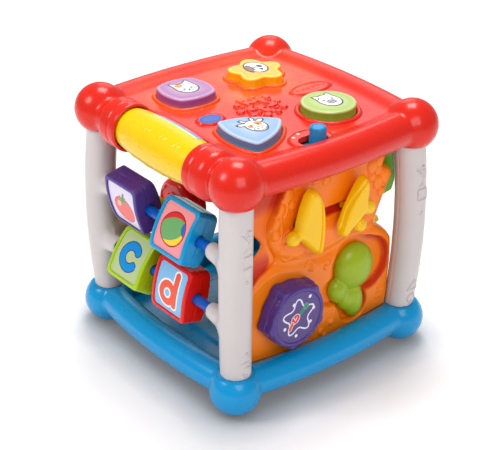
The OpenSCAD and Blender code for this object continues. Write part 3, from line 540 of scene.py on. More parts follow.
def column(turn, bosses):
    """A column, turn quarter-turns round from the corner (+x, +y).
    bosses are (direction, distance of the axle from the middle, height, tip)."""
    ca, sa = cos(turn * pi / 2), sin(turn * pi / 2)
    def f(x, y, z):
        arc, q = post(x * ca + y * sa, -x * sa + y * ca, z)
        r = 9.6 - 0.5 * unit((70 - z) / 50)
        d = length(arc, q) - r
        ang = np.arctan2(q, arc) - radians(45 if turn % 2 else -45)
        d = d - column_relief(ang * 9.4, z)
        across = (arc + q if turn % 2 else arc - q) / sqrt(2)
        d = d + 0.2 * np.exp(-(across / 0.5) ** 2)
        d = most(d, 26.1 - z, z - 140.6)
        for way, reach, high, tip in bosses:
            s, t = (x if turn == 3 else -x, y + reach) if way == "x" else (y if turn == 1 else -y, x + reach)
            ends = most(tip - s, s - 64)
            collar = most(length(t, z - high) - 4.3 - 0.035 * (s - tip), ends)
            foot = most(length(t, z - high + 2.4) - 3.5 - 0.15 * (s - tip), ends)
            boss = common(union(collar, foot, 2.5), tip - s, 2.0)
            d = union(d, boss, 4.0)
            d = cut(d, most(length(t, z - high) - AXLE_BORE, s - tip - 1.2), 0.3)
        return d
    return f

def column_relief(a, z):
    """Small raised toys, stars and shapes up one side of each column."""
    h = np.zeros(np.shape(z), np.float32)
    near = abs(a) < 7
    if near.any():
        u, v = a[near], z[near]
        paths = lines(u, v, [(-3, 121), (0, 117.5), (1.2, 112.5), (-1.5, 110.5)],
            [(1.5, 122.5), (3.6, 119.5), (2.2, 116.5)], [(-3.2, 38.5), (0.4, 45), (3.8, 38.5), (-3.2, 38.5)])
        rings = [abs(spot(u, v, at, r)) for at, r in (((1.2, 121.5), 1.6), ((0.6, 32), 2.8), ((0, 92), 0.8))]
        d = least(paths, abs(box2(u - 0.8, v - 104.5, 3.4, 3.6, 1.0)), *rings)
        h[near] = 0.8 * unit((0.5 - d) / 0.35 + 0.5)
    return h

AXLE_BOSSES = [("x", 69, 101.0, 46.5), ("x", 69, 61.6, 46.5)]
BEAD_BOSS = [("y", 63, 66.0, 53.0)]
COLUMNS = {"front": (3, AXLE_BOSSES), "right": (0, []), "back": (1, BEAD_BOSS),
    "left": (2, AXLE_BOSSES + BEAD_BOSS)}
for where, (turn, bosses) in COLUMNS.items():
    sx, sy = {0: (1, 1), 1: (-1, 1), 2: (-1, -1), 3: (1, -1)}[turn]
    ends = [(40, 80) if s > 0 else (-80, -40) for s in (sx, sy)]
    solid("column_" + where + "_shell", column(turn, bosses), (ends[0][0], ends[1][0], 25),
        (ends[0][1], ends[1][1], 142), 0.55, WHITE, "frame", stands_for=["column_" + where], slot="white_post")

# ---- picture blocks
BLOCK_W, BLOCK_H, BLOCK_T, BULGE = 32.0, 33.0, 13.5, 2.2
WINDOW, WINDOW_DEPTH = (13.4, 14.0), 1.0
FACE_R = bow(BLOCK_H, BULGE)
FACE_MID = BLOCK_T / 2 + BULGE
BLOCKS = {"purple": (-28.5, 101.0, -12.5, PURPLE), "blue": (20.7, 101.0, 27.8, SKY),
    "lime": (-24.8, 61.6, 33.0, LIME), "red": (17.4, 61.6, 13.7, SCARLET)}
AXLE_Y = -69.0

def face_depth(v):
    """How far the block's face stands from its middle plane at height v."""
    return FACE_MID - FACE_R + np.sqrt(most(FACE_R ** 2 - v * v, 1))

def block_local(u, w, v):
    """u along the axle, w depth, v height; both faces alike."""
    aw = abs(w)
    faces = length(aw + FACE_R - FACE_MID, v) - FACE_R
    sides = box2(u, v, BLOCK_W / 2, BLOCK_H / 2, 3.2)
    d = common(faces, sides, 1.3)
    window = most(box2(u, v, *WINDOW, 2.6), face_depth(v) - WINDOW_DEPTH - aw)
    d = cut(d, window, 0.4)
    d = d + 0.22 * np.exp(-(w / 0.45) ** 2)
    return cut(d, length(w, v) - AXLE_BORE, 0.5)

def at_block(x0, z0, tilt):
    """Turns the frame's points to a tilted block's own, and back."""
    c, s = polar(1, tilt)
    def to_local(x, y, z):
        b, e = y - AXLE_Y, z - z0
        return x - x0, b * c - e * s, b * s + e * c
    def to_frame(u, w, v):
        return u + x0, AXLE_Y + w * c + v * s, z0 - w * s + v * c
    return to_local, to_frame

for colour, (x0, z0, tilt, mat) in BLOCKS.items():
    to_local, _ = at_block(x0, z0, tilt)
    solid("block_" + colour + "_shell", lambda x, y, z, f=to_local: block_local(*f(x, y, z)),
        (x0 - 17, AXLE_Y - 19, z0 - 19), (x0 + 17, AXLE_Y + 19, z0 + 19), 0.5, mat, colour + "_block",
        stands_for=["block_" + colour + "_front", "block_" + colour + "_back"], slot="block_" + colour)

# ---- roller
ROLL_R, ROLL_BOW = 14.8, bow(65, 2.1)

def roller(x, y, z):
    rho = length(y - ROLL_Y, z - ROLL_Z)
    s = x - 3
    d = length(rho + ROLL_BOW - ROLL_R, s) - ROLL_BOW
    d = common(d, abs(s) - 35.5, 1.0)
    near = abs(d) < 2
    if near.any():
        a, b = s[near], np.arctan2(y[near] - ROLL_Y, z[near] - ROLL_Z) * 14
        curls = [[(i, j), (i + 1.6, j + 1.8), (i + 3.4, j + 0.4), (i + 5.2, j + 2.0)]
            for i in (-22, -8, 6, 18) for j in (-34, -22, -10, 18, 30)]
        d[near] -= ridge(lines(a, b, *curls), 0.9, 0.28)
    return cut(d, rho - 3.15, 0.4)

solid("roller_barrel", roller, (-35, -82, 131), (41, -51, 162), 0.6, YELLOW, "roller", stands_for=["roller"],
    slot="roller_yellow")

# ---- buttons
def lens(name, core, top, rim, high, low, glow=0.0):
    """Clear tinted plastic with painted light in its tint: a painted glow in the middle of the top, a painted
    highlight on the top's rim, and painted shade down the walls, darkest at their top and lighter towards their
    foot.
    """
    mat = plastic(name, top, rough=0.12, mottle=0.1, bump=0.02, clear=0.2, inner=0.3, glow=glow)
    ramp = add_node(mat.node_tree, "ValToRGB", Fac=layer(mat, "tint", "Fac"))
    stops = ramp.color_ramp.elements
    stops[0].color, stops[1].color = linear(core), linear(low)
    for at, rgb in ((0.25, top), (0.5, rim), (0.62, high)):
        stops.new(at).color = linear(rgb)
    recolour(mat, ramp.outputs["Color"], 0.8)
    return mat

# number, material slot and lens of each button
BUTTONS = {
    "square_button": (0, "purple_lens", lens("lilac_lens", (238, 202, 196), (172, 112, 174), (222, 180, 216),
        (146, 26, 108), (214, 130, 120), 0.12)),
    "star_button": (1, "yellow_lens", lens("amber_lens", (255, 236, 150), (246, 184, 16), (255, 226, 96),
        (236, 148, 0), (255, 190, 30), 0.16)),
    "triangle_button": (2, "ice_lens", lens("ice_lens", (208, 228, 248), (146, 184, 226), (210, 228, 246),
        (48, 100, 156), (100, 184, 210), 0.05)),
    "round_button": (3, "green_lens", lens("apple_lens", (228, 238, 168), (176, 202, 92), (214, 230, 150),
        (116, 150, 22), (170, 198, 66), 0.05))}

CAP_TOP, CAP_DOME = 160.4, 0.0006

def crown(which, x, y):
    """Height of a button's slightly domed top."""
    return CAP_TOP - CAP_DOME * ((x - BUTTON_AT[which][0]) ** 2 + (y - BUTTON_AT[which][1]) ** 2)

def button(which):
    at = BUTTON_AT[which]
    def f(x, y, z):
        s = shape_distance(which, x, y) - 0.2
        if which in (1, 3):
            ang = np.arctan2(y - at[1], x - at[0])
            flutes = np.cos(30 * ang) if which == 1 else abs(np.cos(8 * ang)) * 1.6 - 0.8
            s = s + 0.32 * (0.5 + 0.5 * flutes) * unit(159.4 - z)
        draft = 0.035 * most(z - 154, 0)
        rise = crown(which, x, y)
        cap = length(most(s + draft + 0.9, 0), most(z - rise + 0.9, 0)) - 0.9
        cap = most(cap, s + draft, z - rise, 148.3 - z)
        cap = cut(cap, slab(s + 2, z, 140, 158.2, 1.0), 0.3)
        return union(cap, most(slab(s - 1.6, z, 148.3, 150.1, 0.3), -(s + 2)), 0.3)
    return f

for name, (which, slot_name, mat) in BUTTONS.items():
    at = BUTTON_AT[which]
    cap = solid(name + "_cap", button(which), (at[0] - 23, at[1] - 23, 147), (at[0] + 23, at[1] + 24, 162),
        0.45, mat, name, stands_for=[name], slot=slot_name, soft=0.2)
    # painted light on the lens, as its tint: 0 for the glowing middle, rising over the top to the highlighted
    # rim, then 0.62 to 1 down the shaded walls
    def shade(x, y, z, k=which):
        s = shape_distance(k, x, y)
        face = 0.25 * unit((s + 15) / 11) + 0.25 * unit((s + 2.2) / 1.3)
        return np.where(z > 159.3, face, 0.62 + 0.38 * unit((156.6 - z) / 2.6))
    tinted(cap, shade)

# ---- slider
def peg(x, y, z):
    u, v = x - SLIDER[0], y - SLIDER[1]
    rho = length(u, v)
    body = slab(rho - 5.1 + 0.02 * (z - 149), z, 149, 162.4, 1.3)
    body = cut(body, slab(rho - 3.2, z, 162.0, 170, 0), 0.8)
    for k in range(-2, 3):
        body = cut(body, length(u, z - 157 - k * 1.7) - 0.35 + 10 * (abs(v) < 4.2), 0.2)
    foot = slab(box2(u + 0.25, v, 5.75, 6.2, 1.5), z, 149, 150.6, 0.3)
    key = slab(length(u + 2, v) - 3, z, 146.6, 149.6, 0.3)
    return union(union(body, foot, 0.6), key, 0.3)

solid("slider_peg", peg, (SLIDER[0] - 7, SLIDER[1] - 7, 146), (SLIDER[0] + 7, SLIDER[1] + 7, 163), 0.35, SWITCH,
    "mode_slider", stands_for=["mode_slider"], slot="switch_blue")

# ---- music panel
PLATE, FACE = 58.0, 62.5

def near2(u, v, pts, reach=26):
    """poly2, worked out only close to the outline's box."""
    p = np.array(pts)
    (u0, v0), (u1, v1) = p.min(0), p.max(0)
    far = box2(u - (u0 + u1) / 2, v - (v0 + v1) / 2, (u1 - u0) / 2, (v1 - v0) / 2)
    d = np.array(far)
    near = far < reach
    if near.any():
        d[near] = poly2(u[near], v[near], pts)
    return d

def puff(d, edge, rise):
    """Height of a pillow whose outline is d = 0, rounded over a band of width edge."""
    t = unit(-d / edge)
    return rise * np.sqrt(1 - (1 - t) ** 2)

PANEL_LINE = spline([(-59, 19.2), (0, 19.2), (59, 19.2), (60, 40), (60.5, 60), (60.3, 71), (56.5, 77.5),
    (51.8, 81.6), (48.2, 85.2), (48.6, 91), (50.2, 97), (52.2, 103), (54.3, 107.5), (55.6, 112), (56.2, 118),
    (54.4, 121.8), (50.5, 123), (48.6, 126), (48.4, 135.6), (0, 135.6), (-60, 135.6), (-60, 126),
    (-57.5, 119.5), (-53, 113), (-46, 105), (-42, 100.3), (-41, 97.4), (-43, 93.6), (-48.6, 89.4),
    (-54.4, 85.5), (-58.4, 79.5), (-60, 70), (-60, 40)], 2)
UPPER_LOBE = spline([(-30, 145), (-32, 128), (-36.5, 119), (-38.4, 110), (-38, 101), (-35, 93), (-30, 86.5),
    (-21, 82.5), (-8, 80.6), (6, 80), (20, 82.5), (32, 85), (44, 87), (48, 95), (52, 104), (54, 108), (56, 113),
    (56.5, 119), (53, 123), (49, 126), (48.4, 145)], 3)
LOW_LOBE = spline([(-60, 14), (-60, 60), (-57, 70), (-51, 77), (-43, 81), (-34, 83.5), (-24, 82), (-12, 79.2),
    (-2, 77.2), (8, 77.2), (18, 80), (28, 83.4), (38, 84.6), (46, 83.6), (53, 80), (58, 75), (60.5, 68),
    (60.5, 40), (60, 14)], 3)
DRUM = (-26.0, 52.8)
PIVOT = (26.5, 34.5)

def pocket(u, v):
    """Distance to the recess in which the maraca swings."""
    d = least(*[spot(u, v, at, r) for at, r in (((28.4, 64.6), 17.6), ((34, 62.6), 17.9), ((39.6, 60), 18.0))])
    d = union(d, seg2(u, v, (12, 49.9), (17, 53)) - 9.4, 2)
    d = union(d, seg2(u, v, (22.5, 45), (27, 45)) - 9.6, 2)
    return union(d, seg2(u, v, (27.6, 42), (28.6, 35)) - 11.0, 3)

def raised(h, u, v, spots, rise, edge=1.0):
    """h with puffy dots (u, v, radius) added."""
    for a, b, r in spots:
        h = most(h, puff(spot(u, v, (a, b), r), r * edge, rise))
    return h

def squiggles(u, v):
    marks = lines(u, v, [(-31, 128), (-31.6, 116), (-30, 106), (-31.4, 98)],
        [(-27.5, 128), (-26.5, 121), (-27.8, 114)], [(-28.6, 103), (-25, 104.4), (-23.2, 101.4), (-25, 98),
        (-28.4, 96), (-31.4, 93.4)], [(-29, 86.4), (-25.6, 84), (-21, 85.4), (-16.6, 83.8), (-12, 85)],
        [(-11.4, 76.6), (-7, 78.6), (-3.4, 75.6), (-5.2, 71.8), (-8.4, 73)], [(5.4, 79), (9, 76), (8, 71.4)],
        [(49, 40), (54.6, 41.2)], [(48.6, 36.8), (54, 37.4)], [(48, 33.4), (53, 33.2)])
    h = raised(ridge(marks, 1.25, 0.9), u, v, [(2.6, 25.6, 2.4), (10.6, 29.4, 2.2), (5.8, 21.6, 1.8),
        (-22.6, 119.6, 2.6), (4.6, 70.2, 1.8)], 1.1)
    stems = lines(u, v, [(4.6, 26), (5.6, 33)], [(12.6, 29.6), (13.4, 35.6)])
    return most(h, ridge(stems, 0.95, 0.8))

RECESS = spline([(-75, 72), (-53, 75), (-45, 80), (-37.5, 83.6), (-36.5, 88), (-38.8, 95), (-39.6, 103),
    (-37.4, 112), (-33, 122), (-31, 137), (-75, 140)], 3)

CLOUD = [(38.8, 126.4, 4.6), (45.4, 128.4, 4.4), (50.2, 117.4, 5.4), (44.2, 114.6, 4.6), (46.8, 107.6, 3.2),
    (38.4, 119.4, 3.4)]

def wall(points, lobes, holes, relief):
    """A panel seen along its depth axis: plate, puffy lobes, recesses with rounded lips and raised drawings."""
    def f(x, u, v):
        plan = near2(u, v, points)
        lobe = near2(u, v, lobes[0])
        for p in lobes[1:]:
            lobe = union(lobe, near2(u, v, p), 9)
        hole = least(*[h(u, v) for h in holes])
        high = PLATE + puff(lobe, 5.5, FACE - PLATE)
        lip = unit((hole + 0.3) / 1.8)
        high = PLATE + (high - PLATE) * np.sqrt(1 - (1 - lip) ** 2)
        on_face = (x > PLATE - 4) & (plan < 4)
        extra = np.zeros(np.shape(u), np.float32)
        if on_face.any():
            extra[on_face] = relief(u[on_face], v[on_face])
        high = high + extra * unit((high - PLATE - 2.4) / 1.2)
        d = most((x - high) * 0.72, PLATE - 2.6 - x)
        return common(d, plan, 1.8)
    return f

def cymbal_slot(u, v):
    return box2(u - 1, v - 107, 21.6, 2.6, 1.2)

def music_wall(x, y, z):
    d = MUSIC(x, y, z)
    d = cut(d, most(cymbal_slot(y, z), abs(x - 65.2) - 6.4), 0.4)
    hole = length(y - 9.4, (z - 19.2) * 1.1) - 2.6
    d = cut(d, most(hole, abs(x - 61) - 2.4), 0.4)
    return clear_of_frame(x, y, z, d)

def clear_of_frame(x, y, z, d):
    """Keeps a panel off the rails, balls and columns beside it; it faces +x here."""
    sides = rails([(x, y), (y, x), (-y, x)], z, BASE_RAIL, 9.8, 6)
    ends = least(length(x - HALF, abs(y) - HALF, z - BASE_BALL) - 15.8,
        length(x - HALF, abs(y) - HALF, z - TOP_RAIL) - 16.0)
    beside = length(*post(x, abs(y), z)) - 10.0
    return most(d, -least(sides, ends, beside), abs(y) - x + 0.15)

FRILL = [(-34.6, 104, 3.4), (-34.8, 111.4, 3.8), (-32.2, 119.4, 4.4), (-26.4, 126.8, 4.8), (-18, 132.2, 4.0),
    (-6, 131.6, 3.6), (2.4, 128, 3.2)]

def music_relief(u, v):
    return raised(raised(squiggles(u, v), u, v, CLOUD, 1.5, 0.8), u, v, FRILL, 1.0, 0.8)

MUSIC = wall(PANEL_LINE, [UPPER_LOBE, LOW_LOBE], [pocket, cymbal_slot, lambda u, v: near2(u, v, RECESS),
    lambda u, v: spot(u, v, DRUM, 8)], music_relief)

# the orange plastic turns deep red where its mesh's tint says so: painted shade on the music panel
tint_material(ORANGE, (206, 44, 22))

# Painted shade as the music panel's tint: deep red in the left recess (strongest above and below its middle),
# in a crescent along the right side of the maraca's pocket, in the cymbal slot, and at up to half strength
# where the surface lies below x = 56.5, deeper than the plate.
def music_painted_shade(x, y, z):
    left = unit(1.2 - near2(y, z, RECESS) * 0.9) * (0.3 + 0.7 * unit((abs(z - 105) - 11) / 7))
    edge = pocket(y, z)
    crescent = unit(1.5 + edge / 3.0) * unit(1.2 - edge) * unit((y - 35) / 6)
    slot = unit(1 - cymbal_slot(y, z) / 0.8)
    inner = unit(56.5 - x) * 0.5
    return most(left * 0.95, crescent * 0.85, slot, inner)

# the panel face's tint is its painted shade
tinted(solid("music_panel_face", music_wall, (54, -62, 17), (66, 62, 137), 0.55, ORANGE, "frame",
    stands_for=["music_panel"], slot="panel_orange", soft=0.2), music_painted_shade)

# ---- cymbals
LEFT_CYMBAL = spline([(-14.2, 130.2), (-10.6, 128.8), (-7.2, 123.6), (-4.9, 116), (-4.0, 107), (-4.2, 96),
    (-5.4, 88.6), (-7.6, 86.4), (-10.8, 87.6), (-15.4, 92.4), (-19.8, 97.2), (-23.8, 100.4), (-25.6, 104),
    (-24.8, 110), (-23.0, 117.3), (-20.4, 124.4), (-17.6, 129.0)], 4)
RIGHT_CYMBAL = spline([(25.8, 127.3), (22.2, 125.6), (17.4, 119.2), (12.3, 110.8), (8.7, 103.2), (7.5, 98.2),
    (8.3, 93.6), (10.8, 90.9), (13.8, 91.2), (17.0, 94.2), (21.2, 97), (26, 100.6), (30.2, 104.6), (29.8, 112),
    (30.4, 118), (29.2, 124.2)], 4)

def cymbal(line, rim_side, knobs, stem_y):
    """A half cymbal: a pillow with a groove beside its rim, round knobs (y, z, radius, height) and a stem."""
    def f(x, y, z):
        body = near2(y, z, line)
        rise = 66.4 + puff(body, 4.2, 6.4)
        rim = rim_side(y, z)
        rise = rise - ridge(rim - 4.0, 1.1, 1.5) + ridge(rim - 1.9, 1.6, 0.5)
        d = most((x - rise) * 0.75, 66.5 - x)
        d = common(d, body, 1.6)
        for a, b, r, high in knobs:
            ball = length((x - 68.6) * r / high, y - a, z - b) - r
            d = union(d, most(ball, 66.5 - x), 1.6)
        stem = most(box2(y - stem_y, z - 107, 4, 2.2, 0.6), abs(x - 63.6) - 4.5)
        return union(d, stem, 0.4)
    return f

def left_rim(y, z):
    return -(y + 4.2 + 0.0045 * (z - 108) ** 2)

def right_rim(y, z):
    u, v = y - 16.8, z - 108.6
    return u * 0.86 - v * 0.51 + 7.6 - 0.012 * (u * 0.51 + v * 0.86) ** 2

CYMBALS = {"left": (LEFT_CYMBAL, left_rim, [(-27.0, 102.4, 4.6, 4.2)], -15, (-36, -4, 133)),
    "right": (RIGHT_CYMBAL, right_rim, [(24.8, 94.6, 4.4, 4.0), (30.9, 104.6, 4.6, 4.2)], 20.5, (2, 39, 131))}
for side, (line, rim_side, knobs, stem_y, (y0, y1, z1)) in CYMBALS.items():
    solid("cymbal_" + side + "_disc", cymbal(line, rim_side, knobs, stem_y), (55, y0, 84), (75, y1, z1), 0.42,
        CYMBAL, side + "_cymbal", stands_for=["cymbal_" + side], slot="cymbal_yellow", soft=0.2)

# ---- tambourine
DRUM_FRONT = 75.0

def drum(x, y, z):
    u, v = y - DRUM[0], z - DRUM[1]
    rho = length(u, v)
    tip = 1e3
    for k in range(5):
        tip = least(tip, spot(u, v, polar(17.6, 46 + 72 * k), 4.8))
    outline = union(rho - 20, tip, 2.2)
    back = slab(outline, x, 63, 69.6, 0.7)
    front = slab(rho - 20 + 0.05 * most(x - 69, 0) ** 1.3, x, 63, DRUM_FRONT, 1.5)
    tips = slab(outline + 0.12 * most(x - 66, 0), x, 63, DRUM_FRONT - 0.8, 1.0)
    d = union(union(back, front, 0.8), tips, 0.6)
    d = cut(d, most(length(rho - 20.7, x - 70.2) - 1.0, -tip - 0.2), 0.5)
    dish = most(rho - 16.6, DRUM_FRONT - 0.7 - x)
    return cut(d, dish, 0.8)

solid("tambourine_drum", drum, (62, -50, 29), (76.5, -2, 77), 0.45, PURPLE, "tambourine",
    stands_for=["tambourine"], slot="tambourine_purple", soft=0.2)

# ---- maraca
def maraca(x, y, z):
    def blob(cy, cz, ry, rz, rx, turn):
        c, s = polar(1, turn)
        u, v = (y - cy) * c + (z - cz) * s, -(y - cy) * s + (z - cz) * c
        k = length(u / ry, v / rz, (x - 60) / rx)
        return (k - 1) * min(ry, rz, rx)
    d = blob(29.4, 61.4, 14.6, 15.8, 8.6, 12)
    for leaf in [blob(16.8, 48.2, 6.6, 8.6, 5.6, 20), blob(23.0, 40.6, 6.0, 9.4, 5.6, 24),
            blob(29.6, 38.0, 7.2, 12.8, 6.4, 6)]:
        d = union(d, leaf, 1.2)
    slope = tan(radians(18))
    low = least(z - 28.3, (z - 28.3 - (y - PIVOT[0]) * slope) * 0.951)
    d = common(d, least(x - 63.5, -low), 1.6)
    d = most(d, 58.5 - x)
    return cut(d, most(length(y - PIVOT[0], z - PIVOT[1]) - 2.6, x - 62.7), 0.2)

solid("maraca_body", maraca, (57.5, 1, 20), (70, 46, 83), 0.45, MARACA, "maraca", stands_for=["maraca"],
    slot="maraca_green", soft=0.25)

# ---- gear panel and its gears, drawn facing +x like the music panel and turned to face +y
GEAR_LINE = spline([(-59, 19.2), (0, 19.2), (59, 19.2), (60, 40), (60, 78), (57, 84), (52, 88), (48, 92),
    (46.5, 97), (48, 102), (53.5, 107.5), (57.2, 112), (59, 118), (60, 126), (60, 135.6), (0, 135.6),
    (-60, 135.6), (-60, 108), (-58, 101.5), (-53, 99.2), (-45, 97), (-40, 92), (-38.5, 84), (-38.5, 76),
    (-41, 70), (-50, 66.5), (-56, 63), (-59.5, 57), (-60, 40)], 2)
GEAR_M = 4.0
YELLOW_AT = (-15.0, 55.4)
RED_AT = tuple(a + b for a, b in zip(YELLOW_AT, polar(42, 55)))
PURPLE_AT = tuple(a + b for a, b in zip(RED_AT, polar(32, -30)))
GEARS = {"yellow": (YELLOW_AT, 12, 55.0, 15, YELLOW, "roller_yellow"),
    "red": (RED_AT, 9, 255.0, 0, SCARLET, "block_red"),
    "purple": (PURPLE_AT, 7, 169.286, 0, PURPLE, "tambourine_purple")}

def gear_relief(u, v):
    h = ridge(least(lines(u, v, [(-52, 30), (-47, 25), (-42, 30), (-37, 25)],
        [(36, 32), (42, 27), (48, 32), (53, 27)], [(-50, 44), (-46, 50), (-50, 56)]),
        abs(spot(u, v, (-30, 108), 9)), abs(spot(u, v, (-30, 108), 5))), 1.2, 0.9)
    h = raised(h, u + 30, v - 108, [(*polar(12.6, 45 * k), 1.8) for k in range(8)], 1.2)
    return raised(h, u, v, [(46, 116, 4.6), (40, 120.6, 4), (-48, 124, 3.6), (-8, 27, 2.6), (14, 25, 2.2)], 1.3)

GEAR_LOBE = spline([(-62, 14), (-60.5, 57), (-48, 66), (-39, 71), (-38.5, 84), (-40, 94), (-54, 100),
    (-60.5, 108), (-62, 145), (62, 145), (60.5, 126), (58, 112), (48, 102), (47, 96), (52, 88), (60, 80),
    (60.5, 40), (62, 14)], 3)
GEAR_ROOM = (YELLOW_AT, 29.3), (RED_AT, 23.3), (PURPLE_AT, 19.3)
GEAR_WALL = wall(GEAR_LINE, [GEAR_LOBE], [lambda u, v, at=at, r=r: spot(u, v, at, r) for at, r in GEAR_ROOM],
    gear_relief)

def gear_wall(x, y, z):
    d = GEAR_WALL(y, -x, z)
    d = cut(d, most(spot(-x, z, (63, 64.7), 8), abs(y - 58) - 12), 0.4)
    return clear_of_frame(y, -x, z, d)

solid("gear_panel_face", gear_wall, (-62, 54, 17), (62, 66, 137), 0.62, GREEN, "frame",
    stands_for=["gear_panel"], slot="panel_green", soft=0.2)

def play_gear(at, n, phase, knob_at):
    """A gear of n teeth whose axle is at (u, v) on the panel; knob_at is its knob's distance from the axle."""
    r = GEAR_M * n / 2
    tooth = (-0.34, -1.05), (-0.13, 0.75), (0.13, 0.75), (0.34, -1.05)
    points = [polar(r + far * GEAR_M, phase + (i + turn) * 360 / n) for i in range(n) for turn, far in tooth]
    root = r - GEAR_M * 1.1
    def f(x, y, z):
        u, v = -x - at[0], z - at[1]
        rho = length(u, v)
        d = slab(near2(u, v, points), y, 63.3, 72.3, 1.1)
        ring = most(abs(rho - (root + 6) / 2 - 0.3) - (root - 7.4) / 2, 71.1 - y)
        d = cut(d, ring, 0.9)
        d = union(d, slab(rho - 5.4, y, 58.4, 72.6, 0.8), 0.8)
        if knob_at:
            knob = spot(u, v, polar(knob_at, phase + 45), 4.4)
            d = union(d, slab(knob - 0.25 * abs(y - 77), y, 64, 83.6, 2.2), 1.6)
        return cut(d, most(rho - 2.6, y - 69.8), 0.2)
    return f

for colour, (at, n, phase, knob_at, mat, slot_name) in GEARS.items():
    wide = GEAR_M * n / 2 + 4
    solid("gear_" + colour + "_wheel", play_gear(at, n, phase, knob_at), (-at[0] - wide, 57.5, at[1] - wide),
        (-at[0] + wide, 84.5, at[1] + wide), 0.55, mat, colour + "_gear", stands_for=["gear_" + colour],
        slot=slot_name, soft=0.2)

# ---- beads
BEADS = {"lime": (11.0, -40.0, LIME, "block_lime"), "red": (18.0, -16.0, SCARLET, "block_red"),
    "yellow": (17.0, 26.0, YELLOW, "roller_yellow")}

def bead(r, y0):
    def f(x, y, z):
        rho, ang = length(x + 63, z - 66), np.arctan2(z - 66, x + 63)
        t = y - y0 - 8
        d = slab(rho - r, t, -8, 8, 5)
        face = most(abs(rho - r * 0.62) - r * (0.13 + 0.03 * np.cos(9 * ang)), 6.9 - abs(t))
        d = cut(d, face, 1.2)
        d = cut(d, length(rho - r - 0.5, t) - 1.4, 0.8)
        return cut(d, rho - AXLE_BORE, 0.6)
    return f

for colour, (r, y0, mat, slot_name) in BEADS.items():
    solid("bead_" + colour + "_disc", bead(r, y0), (-63 - r, y0, 66 - r), (-63 + r, y0 + 16, 66 + r), 0.5, mat,
        colour + "_bead", stands_for=["bead_" + colour], slot=slot_name)

# ---- printed stickers
PRINT = plastic("printed_film", (255, 255, 255), rough=0.3, mottle=0.02, inner=0.0)

# the film's colour comes from its mesh's ink, dulled a little by the film's own mottle
recolour(PRINT, layer(PRINT, "ink", "Color"), 1.0, "MULTIPLY")

FILM_ABOVE, FILM_BELOW = 0.07, 0.05

def sticker(name, half, outline, layers, place, body, slot, step=0.27):
    """A thin printed film. outline(a, b) is the distance to its edge, and half is its half width and height.
    layers are (distance, colour), painted in order. place(a, b) is the point of the surface under it."""
    step *= 1
    a = np.arange(-half[0] - step, half[0] + 2 * step, step)
    b = np.arange(-half[1] - step, half[1] + 2 * step, step)
    A, B = np.meshgrid(a, b, indexing="ij")
    free = np.ones(A.shape, bool)
    e = 0.02
    for f in [outline] + [l[0] for l in layers[::-1] if l[0] is not None]:
        d = f(A, B)
        ga, gb = (f(A + e, B) - f(A - e, B)) / (2 * e), (f(A, B + e) - f(A, B - e)) / (2 * e)
        size = most(ga * ga + gb * gb, 0.3)
        close = free & (abs(d) < 0.5 * step * np.sqrt(size))
        A, B = np.where(close, A - d * ga / size, A), np.where(close, B - d * gb / size, B)
        free &= ~close
    n, m = A.shape
    grid = np.arange(n * m).reshape(n, m)
    quads = np.stack([grid[:-1, :-1], grid[1:, :-1], grid[1:, 1:], grid[:-1, 1:]], -1).reshape(-1, 4)
    A, B = A.ravel(), B.ravel()
    ca, cb = A[quads].mean(1), B[quads].mean(1)
    keep = outline(ca, cb) < 0
    quads, ca, cb = quads[keep], ca[keep], cb[keep]
    ink = np.ones((len(quads), 4), np.float32)
    for f, rgb in layers:
        inside = np.ones(len(ca), bool) if f is None else f(ca, cb) < 0
        ink[inside] = linear(rgb)
    used, quads = np.unique(quads, return_inverse=True)
    quads = quads.reshape(-1, 4)
    A, B = A[used], B[used]
    p = np.stack(place(A, B), -1)
    pa = np.stack(place(A + e, B), -1) - np.stack(place(A - e, B), -1)
    pb = np.stack(place(A, B + e), -1) - np.stack(place(A, B - e), -1)
    normal = np.cross(pa, pb)
    normal /= np.linalg.norm(normal, axis=1)[:, None]
    v = np.concatenate([p + FILM_ABOVE * normal, p - FILM_BELOW * normal])
    total = len(p)
    start, end = quads.ravel(), np.roll(quads, -1, axis=1).ravel()
    edge = ~np.isin(start * total + end, end * total + start)
    side = np.stack([end[edge], start[edge], start[edge] + total, end[edge] + total], 1)
    rim_ink = np.repeat(ink, 4, axis=0)[edge]
    faces = np.concatenate([quads, quads[:, ::-1] + total, side])
    ink = np.concatenate([ink, ink, rim_ink])
    flat = np.cross(v[side[:, 1]] - v[side[:, 0]], v[side[:, 3]] - v[side[:, 0]])
    flat /= most(np.linalg.norm(flat, axis=1), 1e-9)[:, None]
    normals = np.concatenate([normal[quads.ravel()], -normal[quads[:, ::-1].ravel()],
        np.repeat(flat, 4, axis=0)])
    mesh = bpy.data.meshes.new(name)
    mesh.from_pydata((v * MM).tolist(), [], faces.tolist())
    mesh.polygons.foreach_set("use_smooth", np.ones(len(faces), bool))
    colour = mesh.color_attributes.new("ink", "FLOAT_COLOR", "CORNER")
    colour.data.foreach_set("color", np.repeat(ink, 4, axis=0).astype(np.float32).ravel())
    mesh.normals_split_custom_set(normals.tolist())
    mesh.materials.append(PRINT)
    finish_piece(put(name, mesh), body, slot=slot)

def disc(ca, cb, ra, rb=None, turn=0.0):
    """A round or oval shape."""
    rb = rb or ra
    c, s = polar(1, turn)
    def f(a, b):
        u, v = (a - ca) * c + (b - cb) * s, (b - cb) * c - (a - ca) * s
        return (length(u / ra, v / rb) - 1) * min(ra, rb)
    return f

def stroke(points, width, closed=False):
    return lambda a, b: path2(a, b, points, closed) - width

def shape(points):
    return lambda a, b: poly2(a, b, points)

def grown(f, more):
    return lambda a, b: f(a, b) - more

def any_of(*fs):
    return lambda a, b: least(*[f(a, b) for f in fs])

def both(f, g):
    return lambda a, b: most(f(a, b), g(a, b))

def outside(f):
    return lambda a, b: -f(a, b)

